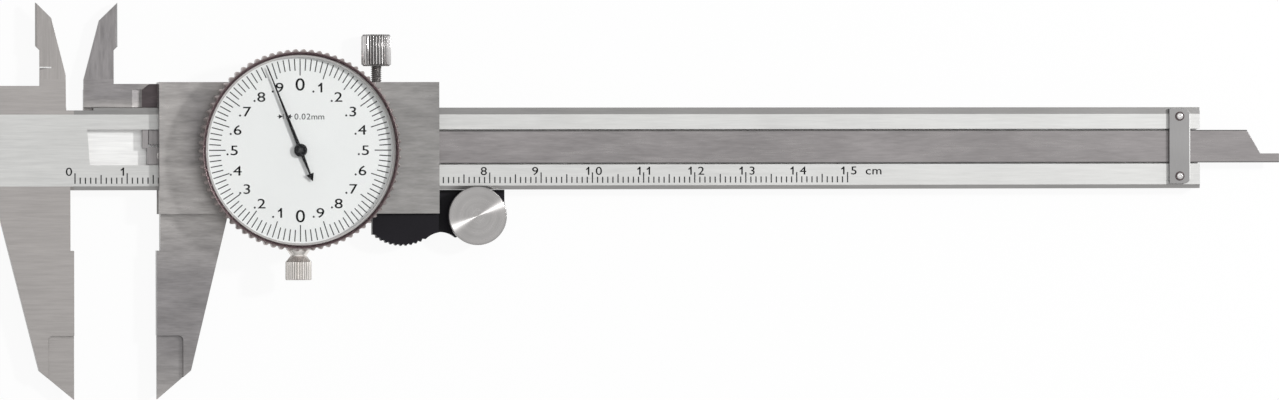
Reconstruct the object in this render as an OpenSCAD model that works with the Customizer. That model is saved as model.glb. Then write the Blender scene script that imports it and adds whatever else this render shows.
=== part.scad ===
// Dial caliper for lengths up to 150 mm, with a rack-driven needle.
// It lies on its back: +X runs along the beam, +Z comes out of the dial and the outside jaws
// point towards -Y. Lengths are in millimetres. X is counted from the fixed measuring face,
// Y from the beam's centre line and Z from the surface that the caliper lies on, and the whole
// is then moved so that the origin is under the middle of its footprint.

/* [Measuring] */
// Gap between the outside jaws as drawn
opening = 15.88; // [6:0.02:60]
// Widest gap that the slide reaches
max_opening = 150; // [100:1:160]

/* [Beam] */
// From the fixed measuring face to the beam's right end
beam_reach = 220; // [215:1:260]
// Width of the fixed head, left of the measuring face
head_w = 14.2; // [12:0.1:18]
// Width of the beam
beam_w = 15.8; // [15:0.1:17]
// Thickness of the beam and of the outside jaws
beam_t = 3.4; // [3.2:0.1:4]
// Width of the groove for rack and depth bar
groove_w = 6.8; // [6.6:0.1:7.5]
// How far the groove's middle lies above the beam's centre line
groove_shift = 0.3; // [0.2:0.05:0.5]
// Depth of the groove
groove_d = 1.95; // [1.8:0.05:2.2]
// Left end of the groove
groove_start = 2.8; // [1:0.1:6]
// Width of the bevel along the front's upper edge
upper_bevel = 1.3; // [0.5:0.1:1.5]
// Width of the bevel along the front's lower edge
lower_bevel = 0.75; // [0.4:0.05:1.2]
// Depth of both bevels
bevel_d = 0.3; // [0.1:0.05:0.6]
// Length of the relief in the beam's upper edge, beside the head
edge_notch_l = 5.2; // [3:0.1:8]
// Depth of that relief
edge_notch_d = 0.5; // [0.3:0.05:0.8]

/* [Outside jaws] */
// From the beam's centre line to the jaw tips
jaw_reach = 48.05; // [42:0.1:60]
// Height of the slanted tip
jaw_tip_h = 5.55; // [4:0.1:8]
// Width of the fixed jaw above its slanted tip
fixed_tip_w = 6.7; // [6:0.1:8]
// Width of the moving jaw above its slanted tip
moving_tip_w = 6.5; // [5.5:0.1:8]
// Width of the moving jaw where it leaves the slide
moving_jaw_w = 13.7; // [10:0.1:16]
// From the centre line to where the measuring faces end
face_top = 19.5; // [17:0.1:24]
// Set-back of the jaws above the measuring faces
jaw_relief = 0.7; // [0.3:0.05:0.9]
// From the centre line to the thinned tips
knife_top = 35.8; // [30:0.1:40]
// Width of the thinned tips
knife_w = 5; // [3:0.1:5.5]
// Depth of the thinning, from the front and from the back
knife_d = 0.9; // [0.3:0.05:1.2]
// Radius in the corner of the thinning
knife_r = 0.9; // [0.4:0.1:1.5]

/* [Inside jaws] */
// From the beam's centre line to the inside jaws' tips
inside_reach = 28.1; // [25:0.1:34]
// How far the inside measuring edges lie left of the outside ones
inside_shift = 7.3; // [7:0.1:8.5]
// From the centre line to the lower end of the inside measuring edges
inside_edge_bottom = 19.75; // [17:0.1:22]
// From the centre line to the top of the head
head_top = 12.1; // [10:0.1:14]
// Set-back of the inside jaws below their measuring edges
inside_relief = 0.8; // [0.5:0.05:1.2]
// Gap between the two inside jaws, front to back
blade_gap = 0.1; // [0.05:0.01:0.3]
// Width of the bevel along an inside measuring edge
knife_bevel_w = 0.35; // [0.2:0.05:1.4]

/* [Slide] */
// Length of the slide's front plate
slide_l = 54; // [53:0.5:60]
// From the centre line to the slide's upper edge
slide_up = 12.8; // [12.4:0.1:14]
// From the centre line to the slide's lower edge
slide_down = 12.5; // [12:0.1:14]
// Thickness of the slide's front plate
plate_t = 2; // [1.8:0.1:3]
// Thickness of the slide's back plate
back_plate_t = 1.2; // [1:0.1:2]
// Thickness of the gib strip beside the beam's upper edge
gib_t = 0.95; // [0.6:0.05:1.4]

/* [Dial] */
// From the moving measuring face to the dial's axis
dial_x = 26.87; // [25:0.1:28]
// How far the dial's axis lies below the beam's centre line
dial_drop = 0.33; // [0:0.01:0.6]
// Outer radius of the dial case where the bezel turns on it
case_r = 17.5; // [17:0.1:20]
// From the case's side to the bezel's window, which the crystal fills
window_step = 0.7; // [0.5:0.05:0.8]
// From the case's side to the crests of the bezel's knurls
bezel_wall = 1.85; // [1.75:0.05:3]
// Depth of the knurls
knurl_d = 0.55; // [0.2:0.05:0.7]
// Number of knurls
knurl_count = 78; // [40:1:90]
// Room between the movement's bridge and the dial face
dial_lift = 1; // [0.7:0.05:1.5]
// Height of the seal ring between dial face and crystal
seal_h = 1.1; // [1:0.05:2]
// Height of the case below the bezel
case_base_h = 3.2; // [3:0.1:4]
// Thickness of the dial face
dial_t = 0.4; // [0.3:0.05:0.5]
// Thickness of the crystal
crystal_t = 0.8; // [0.5:0.05:1]
// From the needle's tip to the bezel's window
needle_margin = 1.2; // [0.8:0.1:8]
// Length of the needle's tail
needle_tail = 6.4; // [3:0.1:9]
// Radius of the needle's hub
hub_r = 1.25; // [0.8:0.05:2]

/* [Movement] */
// Distance between neighbouring rack teeth
rack_pitch = 0.625; // [0.6:0.005:0.65]
// Thickness of the rack
rack_t = 1; // [0.8:0.05:1.1]
// Size of the wheels' teeth: pitch diameter over number of teeth
wheel_module = 0.15; // [0.14:0.005:0.16]
// Thickness of the toothed wheels
wheel_t = 0.4; // [0.2:0.05:0.6]
// Thickness of the movement plate
movement_plate_t = 0.8; // [0.5:0.05:1]
// Height of the pillars between movement plate and bridge
pillar_h = 1.6; // [1.5:0.05:2]
// Thickness of the bridge
bridge_t = 0.7; // [0.5:0.05:0.8]
// Radius of the arbors
arbor_r = 0.45; // [0.35:0.01:0.5]

/* [Depth bar] */
// Width of the depth bar
depth_bar_w = 6.36; // [6:0.02:6.6]
// Thickness of the depth bar
depth_bar_t = 0.8; // [0.5:0.05:0.9]
// Width of the bar's narrow tip
depth_tip_w = 1.75; // [1:0.05:2.5]
// Length of the narrow tip
depth_tip_l = 3.78; // [2:0.1:6]
// Length of the slant behind the narrow tip
depth_slant_l = 2.7; // [1.5:0.1:5]
// Length of the keeper plate over the groove's end
keeper_l = 4.1; // [3:0.1:6]
// Height of the keeper plate across the beam
keeper_h = 14.6; // [13:0.1:15]
// Thickness of the keeper plate
keeper_t = 0.8; // [0.5:0.05:1]

/* [Screws] */
// Radius of the lock screw's head
lock_head_r = 2.88; // [2:0.01:3]
// Length of the lock screw's head
lock_head_l = 6.1; // [4:0.1:9]
// Bare shank between slide and lock screw head
lock_shank_l = 3.1; // [2:0.1:5]
// Radius of the shanks of both thumb screws
thumb_shank_r = 1; // [0.8:0.01:1.1]
// Radius of the bezel clamp screw's head
clamp_head_r = 2.52; // [2:0.01:2.8]
// Length of the bezel clamp screw's head
clamp_head_l = 3.6; // [3:0.1:6]
// Radius of the flare that presses on the bezel's rim
clamp_flare_r = 2.35; // [1.8:0.01:2.4]
// Radius of the neck between flare and head
clamp_neck_r = 1.6; // [1.2:0.01:1.7]
// Radius of the small screws' shanks
small_shank_r = 0.6; // [0.4:0.01:0.7]
// Radius of the small screws' heads
small_head_r = 1.1; // [0.9:0.01:1.3]

/* [Thumb rest and roller] */
// From the moving measuring face to the rest's left end
rest_x = 41.5; // [40.5:0.1:42]
// Length of the whole rest
rest_l = 26; // [25.5:0.1:28]
// Thickness of the rest's left block
rest_block_t = 4.2; // [4:0.1:5]
// Thickness of the rest behind the roller
rest_web_t = 1.7; // [1:0.1:1.8]
// From the moving measuring face to the roller's axis
roller_x = 61.77; // [61.5:0.05:62]
// Radius of the roller's drum
drum_r = 5.03; // [4.9:0.01:5.2]
// Radius of the roller's front disc
disc_r = 5.67; // [5.3:0.01:5.8]
// Thickness of the front disc
disc_t = 1.3; // [0.8:0.1:1.6]
// Radius of the roller's axle
axle_r = 0.9; // [0.6:0.05:1.4]

/* [Clearances] */
// Gap between slide and beam, front, back and edges
slide_gap = 0.05; // [0.03:0.01:0.08]
// Gap of turning parts in their bores
turn_gap = 0.05; // [0.03:0.01:0.1]
// Gap between toothed flanks, measured along the pitch line
tooth_gap = 0.04; // [0.03:0.005:0.06]

/* [Hidden] */

// Overrun of every cut past the face that it opens
over = 0.5;
// Share by which a slanted cut runs on past both of its edges
over_share = 0.5;
// Fine circles
$fn = 96;

// Heights above the surface below, from the back to the front
beam_z = back_plate_t + slide_gap;
face_z = beam_z + beam_t;
plate_z = face_z + slide_gap;
front_z = plate_z + plate_t;
groove_z = face_z - groove_d;
rack_top_z = groove_z + rack_t;
depth_bar_z = rack_top_z + slide_gap;
split_z = beam_z + beam_t / 2;

// Beam and head
beam_top = beam_w / 2;
groove_top = groove_shift + groove_w / 2;
groove_bottom = groove_shift - groove_w / 2;
// From the beam's centre line to where the fixed jaw's back edge starts to slant
jaw_shoulder = 13;
// How far the ends of the groove's left edge lie off its middle
groove_slant = 0.25;

// Inside jaws, counted from their measuring edges
blade_x = -inside_shift;
fixed_blade_tip = [3, 3];
fixed_blade_root = [5.75, 14.2];
fixed_blade_foot_w = 5.86;
moving_blade_tip = [3.55, 3.45];
moving_blade_root = [6.53, 13.3];
moving_blade_foot_w = 6.53;
edge_slope = 0.8;
edge_notch_x = blade_x + fixed_blade_foot_w;
knife_bevel_d = 1.1;
hollow_w = 3.2;
hollow_d = 0.3;
hollow_bottom = 15.6;
hollow_ramp = 0.45;

// Slide, counted from the moving measuring face
plate_x = 0.32;
plate_right = plate_x + slide_l;
rail_low = -beam_top - slide_gap;
gib_y = beam_top + slide_gap / 2;
rail_high = gib_y + gib_t + slide_gap / 2;
gib_x = 1.5;
gib_inset = 1.3;
arm_y = beam_top + 2 * slide_gap;
arm_top = 12.5;
pocket_w = 3;
pocket_d = 0.45;
pocket_ramp = 1.9;
pocket_top = 11.4;
pocket_mouth = 0.85;
// Flat of the back plate behind the moving inside jaw's foot
tab_x = blade_x - moving_blade_foot_w;
tab_lap = 1.5;
back_screw_inset = 4.7;
back_screw_l = 3.9;
gib_screw_xs = [10, 30];
gib_screw_sink = 0.3;
gib_screw_r = 0.95;
rail_mid_high = (rail_high + slide_up) / 2;
rail_mid_low = (rail_low - slide_down) / 2;
back_screw_places = [
    for (x = [plate_x + back_screw_inset, plate_right - back_screw_inset])
    for (y = [rail_mid_low, rail_mid_high]) [x, y]
];

// Screw heads
small_head_h = 0.7;
fine_shank_share = 0.8;
fine_shank_r = small_shank_r * fine_shank_share;
fine_head_share = 0.78;
fine_head_r = small_head_r * fine_head_share;
fine_head_h = 0.6;
slot_share = 0.25;
slot_d = 0.25;

// Lock screw, across the slide above the gib
lock_x = 42.5;
lock_shank_share = 1.04;
lock_shank_r = thumb_shank_r * lock_shank_share;
lock_z = 3.2;
lock_flutes = 30;
flute_d = 0.16;
flute_shares = [0.25, 0.75];
knob_chamfer = 0.5;
// How far smooth ends stay inside the valleys between flutes or knurls
ridge_step = 0.05;

// Rack and its pinion
addendum_share = 0.95;
dedendum_share = 1.25;
rack_pinion_teeth = 16;
rack_module = rack_pitch / PI;
rack_r = rack_pitch * rack_pinion_teeth / (2 * PI);
rack_w = 3.1;
rack_seat = 0.1;
rack_lead = 5.3;
rack_tail = 9;
rack_back = groove_top - rack_seat;
rack_line = rack_back - rack_w + rack_module;
rack_root = rack_line + dedendum_share * rack_module;
rack_lift = 0.1;
flank_angle = 20;
flank_share = 0.1;
stop_gap = 0.15;
stop_arm_w = 1.1;
stop_lap = 0.2;
stop_screw_share = 0.76;
rack_screw_shares = [0.06, 0.5, 0.94];

// Wheels
centre_teeth = 16;
wheel_ratio = 5;
wheel_teeth = centre_teeth * wheel_ratio;
wheel_r = wheel_module * wheel_teeth / 2;
centre_r = wheel_module * centre_teeth / 2;
mesh_l = wheel_r + centre_r;
dial_y = -dial_drop;
rack_arbor_y = rack_line - rack_r;
rack_arbor_x = dial_x - sqrt(pow(mesh_l, 2) - pow(dial_y - rack_arbor_y, 2));
mesh_angle = atan2(dial_y - rack_arbor_y, dial_x - rack_arbor_x);
take_up_angle = -30;
take_up_x = dial_x + mesh_l * cos(take_up_angle);
take_up_y = dial_y + mesh_l * sin(take_up_angle);
arbor_places = [[rack_arbor_x, rack_arbor_y], [dial_x, dial_y], [take_up_x, take_up_y]];
turn = 360 * opening / (rack_pitch * rack_pinion_teeth);
centre_phase = mesh_angle + 180 + 180 / centre_teeth;
tooth_angle = 360 / centre_teeth;
take_up_rest = (take_up_angle - centre_phase) / tooth_angle;
take_up_offset = tooth_angle * (take_up_rest - floor(take_up_rest) - 1 / 2);
spoke_hole_share = 0.22;
spoke_place_share = 0.6;
pinion_over_share = 0.25;

// Rack stop and the rack's screws
rack_screw_y = (rack_back + rack_root) / 2;
rack_screw_xs = [
    for (share = rack_screw_shares)
    rack_arbor_x - rack_lead + share * (rack_lead + max_opening + rack_tail)
];
stop_arm_x = rack_arbor_x - rack_lead - stop_gap - stop_arm_w;
stop_x = stop_arm_x + stop_arm_w - stop_lap;
stop_end = rack_arbor_x - rack_r - rack_module - 2 * stop_gap;
stop_y0 = groove_bottom + rack_seat;
stop_y1 = rack_line - rack_module - stop_gap;
stop_place = [
    stop_x + stop_screw_share * (stop_end - stop_x), (stop_y0 + stop_y1) / 2
];
stop_top_z = depth_bar_z + depth_bar_t - slide_gap;

// Dial case and movement
bezel_r = case_r + bezel_wall;
window_r = case_r + window_step;
needle_l = window_r - needle_margin;
rim_step = 0.1;
case_floor_t = 1;
case_wall = 1.1;
case_flange = 1.1;
case_floor_z = front_z + case_floor_t;
bezel_gap = 0.1;
wheel_lift = 0.35;
bezel_z = front_z + case_base_h;
movement_z = case_floor_z + movement_plate_t;
wheel_z = movement_z + wheel_lift;
bridge_z = movement_z + pillar_h;
bridge_top_z = bridge_z + bridge_t;
dial_z = bridge_top_z + dial_lift;
seal_z = dial_z + dial_t;
crystal_z = seal_z + seal_h;
bezel_top_z = crystal_z + crystal_t + rim_step;
rim_bevel = 0.3;
knurl_margin = 0.45;
knurl_shares = [0.42, 0.58];
seal_w = 0.4;
dial_hole_r = 1.2;
case_bore_r = case_r - case_wall;
pinion_hole_gap = 0.3;
pinion_hole_r = rack_r + rack_module + pinion_hole_gap;
case_screw_dx = 12;
case_screw_dy = 5.3;
case_bite_share = 0.8;
case_screw_l = plate_t + case_bite_share * case_floor_t;
case_screw_places = [
    for (sx = [-1, 1], sy = [-1, 1]) [dial_x + sx * case_screw_dx, dial_y + sy * case_screw_dy]
];
movement_gap = 0.2;
movement_screw_inset = 2.9;
movement_screw_place_r = case_bore_r - movement_screw_inset;
movement_screw_angles = [45, 135, 250];
movement_screw_places = [
    for (a = movement_screw_angles) [dial_x, dial_y] + movement_screw_place_r * [cos(a), sin(a)]
];
floor_bite_share = 0.7;
movement_screw_l = movement_plate_t + floor_bite_share * case_floor_t;
pillar_r = 1.1;
pillar_place = 8.8;
pillar_places = [for (side = [-1, 1]) [dial_x, dial_y + side * pillar_place]];
bridge_w = 4;
bush_r = 1.2;
arbor_lift = 0.05;
needle_lift = 0.5;
needle_z = seal_z + needle_lift;
needle_t = 0.2;
needle_w = 0.7;
needle_tip_w = 0.15;
tail_w = 1.5;
tail_root_share = 0.25;
ring_t = 0.4;
ring_seat = 0.4;
ring_w = 0.55;
ring_gap = 0.08;
ring_drop = 0.7;

// Hairspring above the take-up wheel
collet_r = 0.95;
collet_h = 0.6;
spring_r = 4;
spring_turns = 4;
spring_t = 0.12;
spring_h = 0.3;
spring_lift = 0.2;
stud_r = 0.35;
spiral_steps = 24;
spring_z = wheel_z + wheel_t + spring_lift;
spring_end = take_up_angle + 180;
stud_place = arbor_places[2] + (spring_r + spring_t / 2 + stud_r) * [cos(spring_end), sin(spring_end)];

// Depth bar
depth_bar_gap = 1.1;
depth_bar_x = rack_arbor_x + rack_r + rack_module + depth_bar_gap;
depth_bar_mid = 0.28;
depth_bar_bottom = depth_bar_mid - depth_bar_w / 2;
depth_bar_top = depth_bar_mid + depth_bar_w / 2;
depth_screw_dxs = [5, 22];
depth_screw_xs = [for (dx = depth_screw_dxs) depth_bar_x + dx];
depth_screw_y = -1.2;
depth_pad_l = 28;
keeper_inset = 2.1;
keeper_corner_r = 1.2;
keeper_screw_share = 0.4;
keeper_head_r = 0.88;
keeper_head_h = 0.45;
keeper_x = beam_reach - keeper_inset - keeper_l / 2;
keeper_screw_places = [
    for (side = [-1, 1]) [keeper_x, groove_shift + side * keeper_screw_share * keeper_h]
];

// Bezel clamp screw
clamp_z = front_z + case_base_h / 2;
clamp_gap = 0.07;
clamp_flare_l = 0.85;
clamp_cone_l = 1;
clamp_flutes = 28;
clamp_chamfer = 0.25;
clamp_thread_l = 2.2;

// Thumb rest
rest_z = 0.3;
rest_corner = 1;
rest_arc_r = 8.6;
rest_arc_dx = 5.72;
rest_arc_x = rest_x + rest_arc_dx;
rest_arc_y = -10.15;
rest_rib_d = 0.42;
rest_ribs = 11;
// How far the rest's lower half stays inside its ribbed half
rest_inset = 0.5;
rest_arc_start = 228.3;
rest_arc_end = 302;
roller_gap = 0.04;
dip_r = 4.6;
dip_dx = 0.7;
dip_x = plate_right + dip_dx;
dip_y = -20.7;
dip_run = 2.4;
dip_right = 50;
roller_y = -beam_top - drum_r - roller_gap;
web_r = 5;
web_gap = 0.05;
web_top = -beam_top - web_gap;
drum_gap = 0.15;
drum_z = rest_z + rest_web_t + drum_gap;
disc_gap = 0.65;
disc_z = face_z + disc_gap;
axle_top_share = 0.7;
ear_dx = 1.72;
ear_x = rest_x + ear_dx;
ear_l = 10;
ear_h = 2.7;
ear_z = 2.6;
ear_t = 1.6;
rest_screw_dxs = [4.22, 9.32];
rest_screw_drop = 1.4;
rest_screw_places = [
    for (dx = rest_screw_dxs) [rest_x + dx, -slide_down - rest_screw_drop]
];
ear_bite_share = 0.8;
rest_screw_l = ear_z + ear_bite_share * ear_t - rest_z;
arc_steps = 8;

// Middle of the footprint
centre_x = (beam_reach + opening - head_w) / 2;
centre_y = (inside_reach - jaw_reach) / 2;

// Moves a piece from the measuring face's frame to the middle of the footprint
module placed() {
    translate([-centre_x, -centre_y, 0]) children();
}

// Moves a piece that is drawn for closed jaws along with the slide
module on_slide() {
    placed() translate([opening, 0, 0]) children();
}

// Extrudes an outline drawn in Y and Z from x0 to x1
module along_x(x0, x1) {
    translate([x0, 0, 0]) rotate([90, 0, 90]) linear_extrude(x1 - x0) children();
}

// Extrudes an outline drawn in X and Z from y0 to y1
module along_y(y0, y1) {
    translate([0, y1, 0]) rotate([90, 0, 0]) linear_extrude(y1 - y0) children();
}

// Box between two corners
module block(low, high) {
    translate(low) cube(high - low);
}

// Upright cylinder from z0 to z1
module post(place, z0, z1, r) {
    translate([place.x, place.y, z0]) cylinder(h = z1 - z0, r = r);
}

// Wedge that cuts a bevel along X, from y0 on the front face z down to depth d at y1
module bevel_along_x(x0, x1, y0, y1, z, d) {
    run = (y1 - y0) * over_share;
    drop = d * over_share;
    along_x(x0, x1) polygon([
        [y0 - run, z + drop], [y1 + run, z - d - drop], [y1 + run, z + drop]
    ]);
}

// Wedge that cuts a bevel along Y, from x0 on the front face z down to depth d at x1
module bevel_along_y(y0, y1, x0, x1, z, d) {
    run = (x1 - x0) * over_share;
    drop = d * over_share;
    along_y(y0, y1) polygon([
        [x0 - run, z + drop], [x1 + run, z - d - drop], [x1 + run, z + drop]
    ]);
}

// Points of an arc
function arc(centre, r, a0, a1, steps) = [
    for (i = [0:steps]) centre + r * [
        cos(a0 + (a1 - a0) * i / steps), sin(a0 + (a1 - a0) * i / steps)
    ]
];

// Small screw whose slotted head ends at z = 0 and whose shank points down
module small_screw(length, shank_r, head_r, head_h) {
    difference() {
        union() {
            translate([0, 0, -length]) cylinder(h = length, r = shank_r);
            translate([0, 0, -head_h]) cylinder(h = head_h, r = head_r);
        }
        slot_w = head_r * slot_share;
        block([-head_r, -slot_w / 2, -slot_d], [head_r, slot_w / 2, over]);
    }
}

// Fluted knob of a thumb screw, from z = 0 up, with a chamfer at each end unless it is zero
module fluted_knob(r, length, flutes, low_chamfer, high_chamfer) {
    step = 360 / flutes;
    inner_r = r - flute_d;
    cone_r = inner_r - ridge_step;
    translate([0, 0, low_chamfer]) linear_extrude(length - low_chamfer - high_chamfer) polygon([
        for (i = [0:flutes - 1], p = [[0, inner_r], [flute_shares[0], r], [flute_shares[1], r]])
        p[1] * [cos(step * (i + p[0])), sin(step * (i + p[0]))]
    ]);
    if (low_chamfer > 0) cylinder(h = low_chamfer, r1 = cone_r - low_chamfer, r2 = cone_r);
    translate([0, 0, length - high_chamfer])
        cylinder(h = high_chamfer, r1 = cone_r, r2 = cone_r - high_chamfer);
}

// Angle that an involute flank has turned through at radius r, in degrees
function flank_turn(r, base_r) =
    r <= base_r ? 0 : 180 / PI * sqrt(pow(r / base_r, 2) - 1) - acos(base_r / r);

// Outline of a toothed wheel, with a tooth on its X axis
function wheel_outline(teeth, pitch_r) =
    let (m = 2 * pitch_r / teeth)
    let (base_r = pitch_r * cos(flank_angle))
    let (half_w = (PI * m / 2 - tooth_gap) / 2)
    let (half_a = 180 / PI * half_w / pitch_r + flank_turn(pitch_r, base_r))
    let (radii = [
        pitch_r - dedendum_share * m, pitch_r - m / 2, pitch_r + flank_share * m,
        pitch_r + addendum_share * m
    ])
    [
        for (i = [0:teeth - 1], side = [-1, 1], j = [0:3])
        let (r = radii[side < 0 ? j : 3 - j])
        let (a = 360 * i / teeth + side * (half_a - flank_turn(r, base_r)))
        r * [cos(a), sin(a)]
    ];

// Outline of the rack, its teeth pointing down with a gap on the closed pinion's axis
function rack_outline() =
    let (x0 = rack_arbor_x - rack_lead)
    let (x1 = rack_arbor_x + max_opening + rack_tail)
    let (tip_w = (rack_pitch / 2 - tooth_gap) / 2 - rack_module * tan(flank_angle))
    let (root_w = tip_w + (rack_root - rack_line + rack_module) * tan(flank_angle))
    let (left_teeth = floor(rack_lead / rack_pitch))
    let (right_teeth = floor((max_opening + rack_tail) / rack_pitch))
    concat([[x0, rack_back], [x0, rack_root]], [
        for (i = [-left_teeth:right_teeth - 1], p = [-root_w, -tip_w, tip_w, root_w])
        [
            rack_arbor_x + (i + 1 / 2) * rack_pitch + p,
            abs(p) > tip_w ? rack_root : rack_line - rack_module * addendum_share
        ]
    ], [[x1, rack_root], [x1, rack_back]]);

// Outline of an inside jaw: side is 1 for the fixed one and -1 for the moving one
function blade_outline(side, tip, root, foot_w, foot_y, arm_x, arm_high) = [
    [blade_x, inside_reach],
    [blade_x + side * tip.x, inside_reach - tip.y],
    [blade_x + side * root.x, root.y],
    [blade_x + side * foot_w, foot_y],
    [arm_x, foot_y],
    [arm_x, arm_high],
    [blade_x + side * inside_relief, arm_high],
    [blade_x + side * inside_relief, inside_edge_bottom - edge_slope],
    [blade_x, inside_edge_bottom]
];

// Thins an outside jaw's tip from both faces: side is -1 for the fixed one and 1 for the moving one
module knife_cuts(side) {
    corner = [side * (knife_w - knife_r), -knife_top - knife_r];
    ends = side > 0 ? [90, 0] : [90, 180];
    outline = concat(
        [[-side * over, -knife_top]],
        arc(corner, knife_r, ends[0], ends[1], arc_steps),
        [[side * knife_w, -jaw_reach - over], [-side * over, -jaw_reach - over]]
    );
    for (z = [beam_z + knife_d - beam_t, face_z - knife_d])
        translate([0, 0, z]) linear_extrude(beam_t) polygon(outline);
}

// Bevel along the measuring edge of an inside jaw whose front face is at z
module blade_bevel(side, z) {
    bevel_along_y(
        inside_edge_bottom, inside_reach + over,
        blade_x + side * knife_bevel_w, blade_x, z, knife_bevel_d
    );
}

// Sloping grind on the front of the fixed inside jaw, with a ramp at its foot
module blade_hollow() {
    translate([blade_x + knife_bevel_w + hollow_w, 0, face_z])
        rotate([0, -atan(hollow_d / hollow_w), 0])
        along_x(-hollow_w - knife_bevel_w - over, 0) polygon([
            [hollow_bottom, 0], [inside_reach + over, 0],
            [inside_reach + over, 2 * hollow_d], [hollow_bottom - 2 * hollow_ramp, 2 * hollow_d]
        ]);
}

module beam() {
    color("silver") placed() difference() {
        union() {
            block([-head_w, -beam_top, beam_z], [beam_reach, beam_top, face_z]);
            translate([0, 0, beam_z]) linear_extrude(beam_t) polygon([
                [0, -jaw_reach], [0, -face_top], [-jaw_relief, -face_top],
                [-jaw_relief, 0], [-head_w, 0], [-head_w, -jaw_shoulder],
                [-fixed_tip_w, jaw_tip_h - jaw_reach]
            ]);
            translate([0, 0, split_z + blade_gap / 2])
                linear_extrude(face_z - split_z - blade_gap / 2)
                polygon(blade_outline(
                    1, fixed_blade_tip, fixed_blade_root, fixed_blade_foot_w, 0, -head_w, head_top
                ));
        }
        knife_cuts(-1);
        blade_bevel(1, face_z);
        blade_hollow();
        translate([0, 0, groove_z]) linear_extrude(face_z - groove_z + over) polygon([
            [groove_start + groove_slant, groove_bottom], [beam_reach + over, groove_bottom],
            [beam_reach + over, groove_top], [groove_start - groove_slant, groove_top]
        ]);
        block(
            [edge_notch_x, beam_top - edge_notch_d, beam_z - over],
            [edge_notch_x + edge_notch_l, beam_top + over, face_z + over]
        );
        bevel_along_x(
            edge_notch_x + edge_notch_l, beam_reach + over,
            beam_top - upper_bevel, beam_top, face_z, bevel_d
        );
        bevel_along_x(
            -jaw_relief, beam_reach + over, lower_bevel - beam_top, -beam_top, face_z, bevel_d
        );
        for (p = keeper_screw_places) post(p, split_z, face_z + over, fine_shank_r);
        for (x = rack_screw_xs)
            post([x, rack_screw_y], beam_z + slide_gap, groove_z + over, fine_shank_r);
        post(stop_place, beam_z + slide_gap, groove_z + over, fine_shank_r);
    }
}

module rack() {
    color("dimgray") placed() difference() {
        translate([0, 0, groove_z]) linear_extrude(rack_t) polygon(rack_outline());
        for (x = rack_screw_xs) {
            post([x, rack_screw_y], groove_z - over, rack_top_z + over, fine_shank_r);
            post([x, rack_screw_y], rack_top_z - fine_head_h, rack_top_z + over, fine_head_r);
        }
    }
}

module rack_screws() {
    color("gray") placed() {
        for (x = rack_screw_xs) translate([x, rack_screw_y, rack_top_z])
            small_screw(rack_top_z - beam_z - slide_gap, fine_shank_r, fine_head_r, fine_head_h);
        translate([stop_place.x, stop_place.y, stop_top_z])
            small_screw(stop_top_z - beam_z - slide_gap, fine_shank_r, fine_head_r, fine_head_h);
    }
}

module rack_stop() {
    color("darkgray") placed() difference() {
        union() {
            block([stop_x, stop_y0, groove_z], [stop_end, stop_y1, stop_top_z]);
            block(
                [stop_arm_x, stop_y1 - stop_lap, groove_z],
                [stop_arm_x + stop_arm_w, rack_back, stop_top_z]
            );
        }
        post(stop_place, groove_z - over, stop_top_z + over, fine_shank_r);
        post(stop_place, stop_top_z - fine_head_h, stop_top_z + over, fine_head_r);
    }
}

module keeper_plate() {
    x0 = keeper_x - keeper_l / 2;
    x1 = keeper_x + keeper_l / 2;
    y0 = groove_shift - keeper_h / 2;
    y1 = groove_shift + keeper_h / 2;
    color("silver") placed() difference() {
        union() {
            block([x0, y0, face_z], [x1 - keeper_corner_r, y1, face_z + keeper_t]);
            block(
                [x0, y0 + keeper_corner_r, face_z], [x1, y1 - keeper_corner_r, face_z + keeper_t]
            );
            for (y = [y0 + keeper_corner_r, y1 - keeper_corner_r])
                post([x1 - keeper_corner_r, y], face_z, face_z + keeper_t, keeper_corner_r);
        }
        for (p = keeper_screw_places) post(p, face_z - over, face_z + keeper_t + over, fine_shank_r);
    }
}

module keeper_screws() {
    top = face_z + keeper_t + keeper_head_h;
    color("gainsboro") placed() for (p = keeper_screw_places)
        translate([p.x, p.y, top])
            small_screw(top - split_z, fine_shank_r, keeper_head_r, keeper_head_h);
}

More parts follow.
